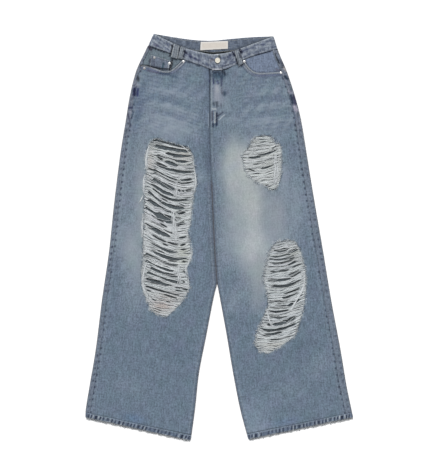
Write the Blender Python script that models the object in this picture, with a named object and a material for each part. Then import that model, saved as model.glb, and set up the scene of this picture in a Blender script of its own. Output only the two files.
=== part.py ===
"""Ripped wide-leg jeans, laid flat with the front up.

Frame: metres, +Z up from the surface the jeans lie on, +Y from the hems to the waist, +X to the wearer's
left.  Right and left are the wearer's, so the right leg lies on -X.  Every table is in millimetres and is
turned to metres once, when a mesh is made.  The origin ends at the middle of the bounding box's underside.

The build-up of cloth, from the surface up: back pockets and back belt loops, back panels with yokes, a flat
hollow, pocket facings, front panels with the coin pocket, waistband, front belt loops, button.
"""

import math

import bpy
import bmesh
import numpy as np
from mathutils import Vector
from mathutils import geometry

MM = 0.001

# Driving dimensions, in millimetres.
CLOTH = 1.2                 # wall of one layer of denim
GAP = 0.3                   # clearance between sewn pieces
FOLD_RADIUS = 2.4           # outer radius where a back panel turns round the side
SEAT_RISE = 1.8             # how far the seat lies above the surface, on its pockets and loops
SEAT_RISE_START = 190.0     # height on the leg where the seat begins to rise
SEAT_RISE_END = 230.0
HEM_DEPTH = 16.0
HEM_WALL = 2.0
HEM_FOLD_RADIUS = 2.7
BAND_WALL = 2.4
BAND_FOLD_RADIUS = 1.8      # of the band's middle line
LOOP_WALL = 1.5
LABEL_WALL = 0.8
THREAD_WALL = 1.0
RIPPLE = 0.5                # height of the gentle waves in the legs
INSEAM_ROUND = 14.0         # width over which a front panel rolls down to the inseam

# Sections of the outer sides, from hem to waist:
# height, right side, right outseam inset, left outseam inset, left side
SIDES = (
    (-477.0, -354.0, 12.0, 17.0, 355.6),
    (-450.5, -352.5, 12.0, 17.0, 350.0),
    (-387.0, -342.0, 12.0, 18.0, 337.0),
    (-291.5, -326.0, 12.0, 18.0, 321.0),
    (-164.0, -310.0, 12.0, 18.0, 297.0),
    (-37.0, -291.5, 12.0, 18.0, 276.0),
    (90.0, -278.0, 12.0, 18.0, 254.0),
    (217.0, -262.0, 12.0, 17.0, 233.0),
    (313.0, -246.5, 12.0, 16.0, 217.0),
    (376.0, -236.0, 11.0, 15.0, 201.0),
    (440.0, -220.0, 9.0, 15.0, 180.0),
    (493.0, -196.0, 7.0, 14.0, 158.0),
    (541.0, -173.3, 6.0, 12.0, 144.0),
)

# Inner sides below the apex of the gap between the legs, from the hem up: height, right leg, left leg
INNER_SIDES = (
    (-538.0, -75.5, 78.8),
    (-450.5, -63.6, 55.7),
    (-355.0, -53.0, 37.0),
    (-260.0, -34.5, 21.0),
    (-164.0, -16.0, 3.5),
    (-119.0, -5.0, -5.0),
)
# The line where the legs touch, then the centre seam and the edge of the fly: height, x
CENTRE_LINE = (
    (-119.0, -5.0),
    (-50.0, -10.0),
    (34.5, -14.6),
    (154.0, -19.6),
    (238.0, -23.0),
    (300.0, -24.0),
    (500.0, -24.0),
)
APEX = -119.0
FLY_TOP = 440.0
CROTCH = 165.0
BACK_CENTRE_AT_WAIST = -15.0

# Rows that run right across a leg: height at the side, height at the inner edge or centre.
HEM_ROW = {"right": (-477.0, -538.0), "left": (-477.0, -535.0)}
APEX_ROW = {"right": (-95.0, APEX), "left": (-95.0, APEX)}
CROTCH_ROW = {"right": (150.0, 160.0), "left": (150.0, 160.0)}
YOKE_ROW = {"right": (458.0, 408.0), "left": (452.0, 408.0)}
WAIST_ROW = {"right": (508.8, 487.0), "left": (500.9, 487.0)}

# Waistband edges, from the right fold to the left fold: x, height.
BAND_FRONT_TOP = ((-173.3, 540.6), (-98.0, 505.4), (-30.5, 487.6), (-5.3, 486.3), (23.9, 490.8),
                  (46.6, 497.4), (98.0, 516.8), (144.7, 534.0))
BAND_FRONT_FOOT = ((-187.6, 508.8), (-133.0, 489.5), (-94.6, 473.0), (-43.2, 454.0), (-14.0, 444.5),
                   (14.6, 446.5), (43.5, 458.5), (71.6, 475.0), (99.1, 484.2), (137.0, 495.0), (155.0, 500.9))
BAND_BACK_TOP = ((-173.3, 540.6), (-98.0, 528.2), (-50.4, 523.1), (-13.3, 522.6), (23.9, 526.3),
                 (82.2, 531.4), (144.7, 534.0))
BAND_BACK_FOOT = ((-187.6, 508.8), (-15.0, 487.0), (155.0, 500.9))      # two straight runs
TAB_END = 0.468             # share of the front from the right fold to the end of the button tab
UNDERLAP_END = 0.60         # share of the front from the right fold to the end of the underlap
TAB_DROP = (0.60, 0.665)    # where the lapped end comes down from the underlap

# Pocket mouths, from the waistband to the outseam: x, height.
POCKET_MOUTH = {
    "right": ((-98.0, 469.0), (-108.6, 458.8), (-118.2, 449.7), (-128.3, 443.3), (-138.3, 440.9),
              (-154.8, 443.3), (-171.2, 449.7), (-183.9, 454.2), (-206.0, 457.4)),
    "left": ((66.5, 468.0), (77.9, 452.4), (89.8, 441.8), (101.5, 437.5), (118.2, 437.0),
             (140.5, 438.0), (163.0, 439.6)),
}
FACING_BEHIND_MOUTH = 26.0  # how far a facing reaches behind the mouth's edge

COIN_POCKET_TOP = ((-179.5, 484.5), (-121.5, 467.0))
COIN_POCKET_SIDES_LEAN = (-4.0, -6.5)       # how far each side leans outwards down to the mouth

# Belt loops: name, outer top corner, inner top corner, inner foot corner, outer foot corner.
FRONT_LOOPS = (
    ("belt_loop_front_right_outer", (-119.0, 515.0), (-105.0, 508.8), (-110.8, 473.5), (-127.0, 478.0)),
    ("belt_loop_front_right_inner", (-100.6, 507.5), (-89.0, 503.2), (-97.5, 472.4), (-108.2, 474.4)),
    ("belt_loop_front_left", (41.0, 497.0), (52.0, 500.5), (63.0, 460.5), (52.0, 453.0)),
)
BACK_LOOPS = (              # name, middle of its top, lean of its foot
    ("belt_loop_back_right", (-118.0, 531.0), -6.0),
    ("belt_loop_back_centre", (-15.0, 522.0), 0.0),
    ("belt_loop_back_left", (88.0, 530.5), 5.0),
)
LOOP_WIDTH = 13.0
LOOP_LENGTH = 46.0

# Back pockets: top outer, top inner, foot inner, point, foot outer, each x, height.
BACK_POCKETS = {
    "right": ((-196.0, 414.0), (-62.0, 385.0), (-72.0, 262.0), (-134.0, 238.0), (-190.0, 282.0)),
    "left": ((158.0, 414.0), (30.0, 385.0), (40.0, 262.0), (102.0, 238.0), (156.0, 282.0)),
}

LABEL_CORNERS = ((-49.6, 496.6), (23.8, 500.6), (23.8, 521.5), (-48.6, 519.0))

BUTTON_CENTRE = (-3.7, 469.3)
BUTTON_RADIUS = 7.2
BUTTON_HEIGHT = 5.0
RIVET_RADIUS = 3.8
RIVET_HEIGHT = 1.6
RIVETS = (                  # name, x, height
    ("rivet_right_front", -94.0, 467.3),
    ("rivet_right_side", -197.4, 449.0),
    ("rivet_left_front", 67.0, 467.2),
    ("rivet_left_side", 164.0, 437.0),
    ("rivet_coin_outer", -171.0, 477.0),
    ("rivet_coin_inner", -131.0, 462.0),
)

# Edges of the three rips: x, height, clockwise from the top.
RIPS = {
    "right_leg": ((-167, 264), (-138, 254), (-104, 246), (-79, 237), (-70, 215), (-64, 172), (-60, 146),
                  (-66, 122), (-71, 88), (-76, 37), (-82, 19), (-76, -24), (-74, -53), (-87, -85), (-82, -109),
                  (-80, -135), (-101, -172), (-122, -193), (-142, -207), (-175, -196), (-188, -172),
                  (-197, -151), (-204, -117), (-204, -85), (-201, -50), (-202, -16), (-200, 19), (-199, 72),
                  (-197, 103), (-197, 146), (-192, 172), (-191, 215), (-184, 247)),
    "left_thigh": ((101, 268), (132, 270), (148, 252), (162, 244), (165, 215), (165, 193), (163, 160),
                   (152, 133), (138, 126), (117, 141), (93, 152), (71, 176), (63, 204), (63, 220), (79, 241),
                   (87, 258)),
    "left_knee": ((149, -13), (171, -7), (198, -8), (215, -52), (229, -86), (229, -145), (222, -196),
                  (200, -264), (174, -285), (141, -305), (123, -305), (103, -291), (101, -264), (111, -233),
                  (123, -196), (130, -175), (127, -145), (118, -107), (123, -73), (137, -32)),
}
RIP_LEG = {"right_leg": "right", "left_thigh": "left", "left_knee": "left"}

# Colours: base colour, roughness, metallic.
FINISHES = {
    "denim": ((0.16, 0.20, 0.26), 0.9, 0.0),
    "cream_thread": ((0.62, 0.64, 0.56), 0.9, 0.0),
    "cream_label": ((0.72, 0.66, 0.58), 0.8, 0.0),
    "button_metal": ((0.70, 0.68, 0.62), 0.35, 1.0),
    "rivet_metal": ((0.72, 0.72, 0.72), 0.35, 1.0),
}

EDGE_STEP = 20.0            # spacing of points along a long edge
RIP_STEP = 13.0             # spacing of points round a rip
FILL_STEP = 36.0            # spacing of points inside a panel
BAND_STATIONS = 14
FOLD_STEPS = 4
ROWS_PER_LEVEL = 9
ROWS_PER_YOKE = 3


# ---------------------------------------------------------------- curves

def curve_through(points, spacing, closed=False):
    """Catmull-Rom curve through the points, cut into even steps of about the given spacing."""
    p = np.array(points, float)
    if closed:
        ring = np.vstack([p[-1:], p, p[:2]])
    else:
        ring = np.vstack([2 * p[0] - p[1], p, 2 * p[-1] - p[-2]])
    t = np.linspace(0.0, 1.0, 16, endpoint=False)[:, None, None]
    a, b, c, d = ring[:-3], ring[1:-2], ring[2:-1], ring[3:]
    spans = 0.5 * (2 * b + (c - a) * t + (2 * a - 5 * b + 4 * c - d) * t**2
                   + (3 * b - a - 3 * c + d) * t**3)
    fine = np.swapaxes(spans, 0, 1).reshape(-1, p.shape[1])
    fine = np.vstack([fine, p[:1] if closed else p[-1:]])
    along = np.concatenate([[0.0], np.cumsum(np.linalg.norm(np.diff(fine, axis=0), axis=1))])
    count = max(1, round(along[-1] / spacing))
    marks = np.linspace(0.0, along[-1], count + 1)
    even = np.column_stack([np.interp(marks, along, fine[:, k]) for k in range(p.shape[1])])
    return even[:-1] if closed else even


def column_curve(table, column):
    """A table's column as a smooth function of height, read from a fine curve."""
    rows = np.array(table, float)
    fine = curve_through(rows[:, [0, column]], 4.0)
    return lambda height: np.interp(height, fine[:, 0], fine[:, 1])


SIDE_X = {"right": column_curve(SIDES, 1), "left": column_curve(SIDES, 4)}
SEAM_INSET = {"right": column_curve(SIDES, 2), "left": column_curve(SIDES, 3)}
LEG_INNER_X = {"right": column_curve(INNER_SIDES, 1), "left": column_curve(INNER_SIDES, 2)}
CENTRE_X = column_curve(CENTRE_LINE, 1)
OUTWARD = {"right": -1.0, "left": 1.0}


def smooth_step(value, start, end):
    """0 before start, 1 after end, and an even S between them."""
    t = np.clip((value - start) / (end - start), 0.0, 1.0)
    return t * t * (3.0 - 2.0 * t)


def inner_edge(side, height, back=False):
    """x of a leg's inner edge, or of the centre seam above the crotch, half a gap clear of its twin."""
    x = np.where(height < APEX, LEG_INNER_X[side](height), CENTRE_X(height))
    if back:
        waist = WAIST_ROW[side][1]
        x = x + (BACK_CENTRE_AT_WAIST - CENTRE_X(waist)) * smooth_step(height, CROTCH, waist)
    return x + OUTWARD[side] * GAP * 0.7


def offset_points(points, distance):
    """A closed run of points moved inwards, along the mean of the two edges' normals."""
    p = np.array(points, float)
    forward = np.roll(p, -1, axis=0) - np.roll(p, 1, axis=0)
    normal = np.column_stack([forward[:, 1], -forward[:, 0]])
    normal /= np.linalg.norm(normal, axis=1)[:, None]
    area = np.sum(p[:, 0] * np.roll(p[:, 1], -1) - np.roll(p[:, 0], -1) * p[:, 1])
    return p - normal * distance * np.sign(area)


# ---------------------------------------------------------------- heights of the layers

def ground(y):
    """Underside of the back panels: on the surface at the legs, raised on the pockets at the seat."""
    return SEAT_RISE * smooth_step(y, SEAT_RISE_START, SEAT_RISE_END)


def panel_under(side, x, y):
    """Underside of a front panel: level with the turned-over back at the outseam, rolled down to the back
    panel at the inseam, with shallow slanting waves in the leg."""
    level = 2 * FOLD_RADIUS - CLOTH
    seated = CLOTH + GAP
    reach = (x - inner_edge(side, y)) * OUTWARD[side]
    roll = np.sqrt(np.clip(1.0 - (1.0 - np.clip(reach / INSEAM_ROUND, 0.0, 1.0)) ** 2, 0.0, 1.0))
    roll = np.maximum(roll, smooth_step(y, CROTCH - 20.0, CROTCH + 40.0))
    wave = RIPPLE * np.sin(y / 47.0 + x / 90.0) * np.sin(y / 131.0 - x / 60.0)
    in_leg = 1.0 - smooth_step(y, CROTCH - 40.0, CROTCH + 40.0)
    width = (SIDE_X[side](y) - x) * OUTWARD[side] - SEAM_INSET[side](y)
    clear = smooth_step(width, 0.0, 60.0) * smooth_step(reach, 0.0, 60.0)
    return ground(y) + seated + (level - seated) * roll + wave * in_leg * clear


def panel_over(side, x, y):
    """Upper face of a front panel."""
    return panel_under(side, x, y) + CLOTH


# ---------------------------------------------------------------- mesh helpers

def add_object(name, verts, faces, finish, smooth=False):
    """A named object with one Principled material, its faces turned outwards."""
    mesh = bpy.data.meshes.new(name)
    mesh.from_pydata((np.array(verts) * MM).tolist(), [], [list(f) for f in faces])
    shape = bmesh.new()
    shape.from_mesh(mesh)
    bmesh.ops.recalc_face_normals(shape, faces=shape.faces)
    shape.to_mesh(mesh)
    shape.free()
    if smooth:
        mesh.shade_smooth()
        mesh.set_sharp_from_angle(angle=math.radians(35))
    mesh.materials.append(finish_material(finish))
    obj = bpy.data.objects.new(name, mesh)
    bpy.context.scene.collection.objects.link(obj)
    obj.parent = bpy.data.objects["jeans"]
    return obj


def finish_material(finish):
    """The Principled material of one finish, made once."""
    if finish in bpy.data.materials:
        return bpy.data.materials[finish]
    colour, roughness, metallic = FINISHES[finish]
    material = bpy.data.materials.new(finish)
    material.use_nodes = True
    shader = material.node_tree.nodes["Principled BSDF"]
    shader.inputs["Base Color"].default_value = (*colour, 1.0)
    shader.inputs["Roughness"].default_value = roughness
    shader.inputs["Metallic"].default_value = metallic
    return material


def inside(points, loop):
    """Which points lie inside a closed loop, by counting crossings."""
    x, y = points[:, 0][:, None], points[:, 1][:, None]
    ax, ay = loop[:, 0][None], loop[:, 1][None]
    bx, by = np.roll(loop[:, 0], -1)[None], np.roll(loop[:, 1], -1)[None]
    with np.errstate(divide="ignore", invalid="ignore"):
        crossing = (ay > y) != (by > y)
        left_of = x < (bx - ax) * (y - ay) / (by - ay) + ax
    return np.sum(crossing & left_of, axis=1) % 2 == 1


def distance_to(points, loop):
    """Shortest distance from each point to a closed loop."""
    a = loop[None]
    edge = np.roll(loop, -1, axis=0)[None] - a
    rel = points[:, None] - a
    t = np.clip(np.sum(rel * edge, axis=2) / np.sum(edge * edge, axis=2), 0.0, 1.0)
    return np.min(np.linalg.norm(rel - edge * t[..., None], axis=2), axis=1)


def fill_points(outline, holes, spacing):
    """A staggered grid of points inside the outline, kept clear of every edge."""
    low, high = outline.min(axis=0), outline.max(axis=0)
    xs = np.arange(low[0], high[0], spacing)
    ys = np.arange(low[1], high[1], spacing * 0.87)
    gx, gy = np.meshgrid(xs, ys)
    gx = gx + (np.arange(len(ys)) % 2)[:, None] * spacing / 2
    grid = np.column_stack([gx.ravel(), gy.ravel()])
    keep = inside(grid, outline) & (distance_to(grid, outline) > spacing * 0.45)
    for hole in holes:
        keep &= ~inside(grid, hole) & (distance_to(grid, hole) > spacing * 0.45)
    return grid[keep]


def slab(name, outline, under, over, finish="denim", holes=(), extra=None, spacing=FILL_STEP):
    """A flat sheet: the outline and its holes are filled with triangles, which get a lower and an upper
    height from two functions of x and y, and a wall is raised round every edge."""
    loops = [np.array(outline, float)] + [np.array(h, float) for h in holes]
    inner = fill_points(loops[0], loops[1:], spacing)
    if extra is not None and len(extra):
        apart = distance_to(extra, loops[0]) > 2.0
        for hole in loops[1:]:
            apart &= distance_to(extra, hole) > 2.0
        extra = extra[apart & inside(extra, loops[0])]
        far = np.array([np.min(np.linalg.norm(extra - p, axis=1)) > 9.0 for p in inner], bool)
        inner = np.vstack([extra, inner[far]])
    verts, edges, start = [], [], 0
    for loop in loops:
        count = len(loop)
        verts += [Vector(p) for p in loop]
        edges += [(start + k, start + (k + 1) % count) for k in range(count)]
        start += count
    verts += [Vector(p) for p in inner]
    flat, _, triangles, _, _, _ = geometry.delaunay_2d_cdt(verts, edges, [], 0, 1e-5)
    flat = np.array([tuple(v) for v in flat])
    triangles = np.array([tuple(t) for t in triangles])
    middles = flat[triangles].mean(axis=1)
    keep = inside(middles, loops[0])
    for hole in loops[1:]:
        keep &= ~inside(middles, hole)
    triangles = triangles[keep]
    used = np.unique(triangles)
    renumber = np.full(len(flat), -1)
    renumber[used] = np.arange(len(used))
    flat, triangles = flat[used], renumber[triangles]
    sides = np.vstack([triangles[:, [0, 1]], triangles[:, [1, 2]], triangles[:, [2, 0]]])
    keys = {}
    for a, b in sides.tolist():
        keys[(min(a, b), max(a, b))] = keys.get((min(a, b), max(a, b)), 0) + 1
    border = [(a, b) for a, b in sides.tolist() if keys[(min(a, b), max(a, b))] == 1]
    count = len(flat)
    low = np.column_stack([flat, under(flat[:, 0], flat[:, 1])])
    high = np.column_stack([flat, over(flat[:, 0], flat[:, 1])])
    faces = [t for t in triangles.tolist()]
    faces = [[c + count for c in t] for t in faces] + [t[::-1] for t in faces]
    faces += [[a, b, b + count, a + count] for a, b in border]
    return add_object(name, np.vstack([low, high]), faces, finish)


def flat_height(value):
    """A height function that is the same everywhere."""
    return lambda x, y: np.full(np.shape(x), float(value))


def loft(name, sections, finish="denim", closed=False, smooth=False):
    """A skin over equal sections, each a ring of points; open lofts get a flat cap at each end."""
    rings = np.array(sections, float)
    rows, ring = rings.shape[:2]
    verts = rings.reshape(-1, 3)
    faces = []
    last = rows if closed else rows - 1
    for i in range(last):
        j = (i + 1) % rows
        for k in range(ring):
            m = (k + 1) % ring
            faces.append([i * ring + k, i * ring + m, j * ring + m, j * ring + k])
    if not closed:
        faces.append(list(range(ring)))
        faces.append(list(range((rows - 1) * ring, rows * ring)))
    return add_object(name, verts, faces, finish, smooth)


def turned(name, profile, centre, base, finish, steps=20):
    """A round piece: a profile of radius and height turned about its own upright axis."""
    angles = np.linspace(0.0, 2 * np.pi, steps, endpoint=False)
    rings = [[(centre[0] + r * math.cos(a), centre[1] + r * math.sin(a), base + h) for r, h in profile]
             for a in angles]
    rings = np.array(rings).swapaxes(0, 1)
    verts = np.vstack([rings.reshape(-1, 3), [(centre[0], centre[1], base + profile[-1][1])]])
    verts = np.vstack([verts, [(centre[0], centre[1], base + profile[0][1])]])
    faces = []
    for i in range(len(profile) - 1):
        for k in range(steps):
            m = (k + 1) % steps
            faces.append([i * steps + k, i * steps + m, (i + 1) * steps + m, (i + 1) * steps + k])
    top, foot = len(verts) - 2, len(verts) - 1
    end = (len(profile) - 1) * steps
    faces += [[end + k, end + (k + 1) % steps, top] for k in range(steps)]
    faces += [[(k + 1) % steps, k, foot] for k in range(steps)]
    return add_object(name, verts, faces, finish, smooth=True)


# ---------------------------------------------------------------- rows across a leg

def row_ends(side, outer_height, inner_height, back=False):
    """The two ends of a row: on the side fold and on the inner edge."""
    outer = np.array([SIDE_X[side](outer_height), outer_height])
    inner = np.array([inner_edge(side, inner_height, back), inner_height])
    return outer, inner


def rows_between(levels, per_level):
    """Heights of rows spread evenly from each named level to the next, so that both legs have the same
    inner heights wherever they touch."""
    rows = [levels[0]]
    for start, end in zip(levels, levels[1:]):
        for share in np.linspace(0.0, 1.0, per_level + 1)[1:]:
            rows.append((start[0] + (end[0] - start[0]) * share, start[1] + (end[1] - start[1]) * share))
    return rows


def seam_point(side, outer_height, inner_height, beyond=GAP):
    """Where the outseam crosses a row, plus a clearance towards the front panel."""
    outer, inner = row_ends(side, outer_height, inner_height)
    along = (inner - outer) / np.linalg.norm(inner - outer)
    return outer + along * (SEAM_INSET[side](outer_height) + beyond)


def raise_row(row, amount):
    """A row moved up the leg."""
    return (row[0] + amount, row[1] + amount)


def lip_drop(side, outer_height):
    """How far a yoke's lip slopes down from its row to clear the front of the waistband."""
    top = WAIST_ROW[side][0] - 2 * GAP
    share = smooth_step(outer_height, YOKE_ROW[side][0], top)
    x, y = seam_point(side, top, WAIST_ROW[side][1] - 2 * GAP, beyond=0.0)
    edge = curve_through(BAND_FRONT_FOOT, 3.0)
    return max(0.0, y - np.interp(x, edge[:, 0], edge[:, 1]) + 2 * GAP) * share


def turned_back_section(side, outer_height, inner_height):
    """Section of a back panel: flat below, folded round the side, and a lip above up to the outseam."""
    drop = lip_drop(side, outer_height)
    outer, inner = row_ends(side, outer_height, inner_height, back=True)
    width = np.linalg.norm(inner - outer)
    along = (inner - outer) / width
    lip = SEAM_INSET[side](outer_height)
    turns = np.linspace(-np.pi / 2, -3 * np.pi / 2, FOLD_STEPS + 1)
    outside = [(FOLD_RADIUS * (1 + math.cos(a)), FOLD_RADIUS * (1 + math.sin(a))) for a in turns]
    small = FOLD_RADIUS - CLOTH
    within = [(FOLD_RADIUS + small * math.cos(a), FOLD_RADIUS + small * math.sin(a)) for a in turns]
    middle = width * 0.5
    profile = [(width, 0.0), (middle, 0.0)] + outside + [(lip, 2 * FOLD_RADIUS),
                                                         (lip, 2 * FOLD_RADIUS - CLOTH)]
    profile += within[::-1] + [(middle, CLOTH), (width, CLOTH)]
    section = []
    for reach, height in profile:
        x, y = outer + along * reach
        on_lip = smooth_step(height, CLOTH, 2 * FOLD_RADIUS - CLOTH)
        section.append((x, y - drop * on_lip, ground(y) + height))
    return section


# ---------------------------------------------------------------- sub-parts

def panel_rows(side):
    """Rows of a back panel, from above the hem to the yoke seam."""
    levels = [raise_row(HEM_ROW[side], HEM_DEPTH + GAP), APEX_ROW[side], CROTCH_ROW[side],
              raise_row(YOKE_ROW[side], -GAP)]
    return rows_between(levels, ROWS_PER_LEVEL)


def yoke_rows(side):
    """Rows of a yoke, from the back panel to the waistband."""
    return rows_between([YOKE_ROW[side], raise_row(WAIST_ROW[side], -2 * GAP)], ROWS_PER_YOKE)


def make_back_panel(side):
    """Back leg panel, from above the hem to the yoke seam."""
    loft("back_" + side, [turned_back_section(side, *row) for row in panel_rows(side)])


def make_yoke(side):
    """Yoke between the back panel and the waistband."""
    loft("yoke_" + side, [turned_back_section(side, *row) for row in yoke_rows(side)])


def outseam_run(side, top_height):
    """Outseam up to a height on the side, through the same rows as the turned-over back."""
    rows = panel_rows(side) + yoke_rows(side)
    seam = np.array([seam_point(side, *row) for row in rows])
    below = seam[seam[:, 1] < top_height - 2.0]
    top = (np.interp(top_height, seam[:, 1], seam[:, 0]), top_height)
    return np.vstack([below, top])


def band_foot_run(start_x, end_x, spacing=12.0):
    """Lower edge of the front waistband between two places, one gap lower."""
    edge = curve_through(BAND_FRONT_FOOT, 3.0)
    count = max(2, round(abs(end_x - start_x) / spacing) + 1)
    xs = np.linspace(start_x, end_x, count)
    return np.column_stack([xs, np.interp(xs, edge[:, 0], edge[:, 1]) - GAP * 1.6])


def make_front_panel(side):
    """Front leg panel: pocket mouth scooped out at the top, rips cut through."""
    foot = raise_row(HEM_ROW[side], HEM_DEPTH + GAP)
    mouth = curve_through(POCKET_MOUTH[side], 9.0)
    centre_x = inner_edge(side, 450.0)
    band = band_foot_run(centre_x, mouth[0][0])
    seam = outseam_run(side, mouth[-1][1])
    below = np.linspace(foot[1], APEX, round((APEX - foot[1]) / EDGE_STEP))
    above = np.linspace(APEX, FLY_TOP, round((FLY_TOP - APEX) / EDGE_STEP))
    heights = np.concatenate([below[:-1], above])
    inner = np.column_stack([inner_edge(side, heights), heights])
    hem_line = np.linspace(seam[0], inner[0], 16)[1:-1]
    outline = np.vstack([band, mouth[1:-1], seam[::-1], hem_line, inner])
    rows = rows_between([foot, APEX_ROW[side], CROTCH_ROW[side]], 2 * ROWS_PER_LEVEL)
    rolled = []
    for outer_height, inner_height in rows:
        outer, edge = row_ends(side, outer_height, inner_height)
        along = (outer - edge) / np.linalg.norm(outer - edge)
        rolled += [edge + along * reach for reach in (4.0, INSEAM_ROUND)]
    holes = [curve_through(RIPS[rip], RIP_STEP, closed=True) for rip in RIPS if RIP_LEG[rip] == side]
    slab("front_" + side, outline, lambda x, y: panel_under(side, x, y),
         lambda x, y: panel_over(side, x, y), holes=holes, extra=np.array(rolled))


def make_rip_threads(rip):
    """Reach of the loose threads across one rip: a thin sheet just inside its edge."""
    side = RIP_LEG[rip]
    outline = offset_points(curve_through(RIPS[rip], RIP_STEP, closed=True), GAP * 1.5)
    low = (CLOTH - THREAD_WALL) / 2
    slab("rip_threads_" + rip, outline, lambda x, y: panel_under(side, x, y) + low,
         lambda x, y: panel_over(side, x, y) - low, finish="cream_thread", spacing=60.0)


def make_pocket_facing(side):
    """Facing behind a pocket mouth, from the waistband to past the mouth's edge."""
    mouth = curve_through(POCKET_MOUTH[side], 16.0)
    mouth_end = seam_point(side, mouth[-1][1], mouth[-1][1])
    foot = WAIST_ROW[side][0] - 12.0
    seam = np.array([seam_point(side, h, h) for h in np.linspace(mouth_end[1], foot, 4)])
    lower = mouth + np.array([0.0, -FACING_BEHIND_MOUTH])
    lower[0] = (mouth[0][0] - OUTWARD[side] * 14.0, mouth[0][1] - 8.0)
    lower[-1] = seam_point(side, lower[-1][1], lower[-1][1])
    band_start = lower[0][0]
    band = band_foot_run(seam[-1][0], band_start, 16.0)
    outline = np.vstack([lower, seam, band])
    base = SEAT_RISE + 2 * FOLD_RADIUS - CLOTH - GAP - CLOTH
    slab("pocket_facing_" + side, outline, flat_height(base), flat_height(base + CLOTH), spacing=60.0)


def make_coin_pocket():
    """Small pocket on the right facing, its foot hidden behind the mouth's edge."""
    (outer_x, outer_y), (inner_x, inner_y) = COIN_POCKET_TOP
    mouth = curve_through(POCKET_MOUTH["right"], 4.0)
    outer_foot = outer_x + COIN_POCKET_SIDES_LEAN[0]
    inner_foot = inner_x + COIN_POCKET_SIDES_LEAN[1]
    between = mouth[(mouth[:, 0] > outer_foot) & (mouth[:, 0] < inner_foot)][::-1][::3]
    foot = between + np.array([0.0, 4 * GAP])
    outline = np.vstack([[(inner_x, inner_y), (outer_x, outer_y)], foot])
    base = SEAT_RISE + 2 * FOLD_RADIUS - CLOTH
    slab("coin_pocket", outline, flat_height(base), flat_height(base + CLOTH), spacing=60.0)


def make_back_pocket(side):
    """Five-sided patch pocket under the seat."""
    slab("back_pocket_" + side, BACK_POCKETS[side], flat_height(0.0), flat_height(SEAT_RISE - GAP),
         spacing=60.0)


def band_edge(table, share):
    """Point on a waistband edge at a share of the way from the right fold to the left fold."""
    edge = np.array(table) if table is BAND_BACK_FOOT else curve_through(table, 3.0)
    x = table[0][0] + (table[-1][0] - table[0][0]) * share
    return np.array([x, np.interp(x, edge[:, 0], edge[:, 1])])


def band_front_height(share):
    """Middle height of the lapped front of the band: raised over the underlap, then down to the panels."""
    low = SEAT_RISE + 2 * BAND_FOLD_RADIUS + BAND_WALL / 2
    lift = (BAND_WALL + GAP) * (1.0 - smooth_step(share, *TAB_DROP))
    return low + lift


def make_waistband():
    """One strip from the underlap, round the right side, across the back, round the left side and back to
    the button tab: a flat section carried along a path that folds at both sides."""
    level = SEAT_RISE + 2 * BAND_FOLD_RADIUS + BAND_WALL / 2
    seat = SEAT_RISE + BAND_WALL / 2
    stations = []
    for share in np.linspace(UNDERLAP_END, 0.0, BAND_STATIONS)[:-1]:
        stations.append((band_edge(BAND_FRONT_TOP, share), band_edge(BAND_FRONT_FOOT, share), level, 0.0, 1.0))
    stations += band_fold(0.0, -1.0, level)
    for share in np.linspace(0.0, 1.0, BAND_STATIONS)[1:-1]:
        stations.append((band_edge(BAND_BACK_TOP, share), band_edge(BAND_BACK_FOOT, share), seat, 0.0, -1.0))
    stations += band_fold(1.0, 1.0, level)[::-1]
    for share in np.linspace(1.0, TAB_END, BAND_STATIONS + 6)[1:]:
        height = float(band_front_height(share))
        stations.append((band_edge(BAND_FRONT_TOP, share), band_edge(BAND_FRONT_FOOT, share), height, 0.0, 1.0))
    half = BAND_WALL / 2
    sections = []
    for top, foot, z, side_push, up_push in stations:
        outer, inner = (side_push * half, up_push * half), (-side_push * half, -up_push * half)
        sections.append([(top[0] + outer[0], top[1], z + outer[1]), (foot[0] + outer[0], foot[1], z + outer[1]),
                         (foot[0] + inner[0], foot[1], z + inner[1]), (top[0] + inner[0], top[1], z + inner[1])])
    loft("waistband", sections)


def band_fold(share, outward, level):
    """Half turn of the band at a side, from the front layer down to the back layer."""
    top, foot = band_edge(BAND_FRONT_TOP, share), band_edge(BAND_FRONT_FOOT, share)
    reach = BAND_FOLD_RADIUS + BAND_WALL / 2
    stations = []
    for a in np.linspace(0.0, np.pi, 2 * FOLD_STEPS + 1):
        push = outward * (math.sin(a) * BAND_FOLD_RADIUS - reach)
        z = level - BAND_FOLD_RADIUS + math.cos(a) * BAND_FOLD_RADIUS
        move = np.array([push, 0.0])
        stations.append((top + move, foot + move, z, outward * math.sin(a), math.cos(a)))
    return stations


def make_front_loops():
    """Belt loops on the front: flat strips just above the band, their feet below it."""
    base = SEAT_RISE + 2 * BAND_FOLD_RADIUS + BAND_WALL + GAP
    for name, *corners in FRONT_LOOPS:
        slab(name, corners, flat_height(base), flat_height(base + LOOP_WALL), spacing=60.0)


def make_back_loops():
    """Belt loops under the back of the band."""
    half = LOOP_WIDTH / 2
    for name, (x, y), lean in BACK_LOOPS:
        corners = [(x - half, y), (x + half, y), (x + lean + half, y - LOOP_LENGTH),
                   (x + lean - half, y - LOOP_LENGTH)]
        slab(name, corners, flat_height(0.0), flat_height(LOOP_WALL), spacing=60.0)


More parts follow.
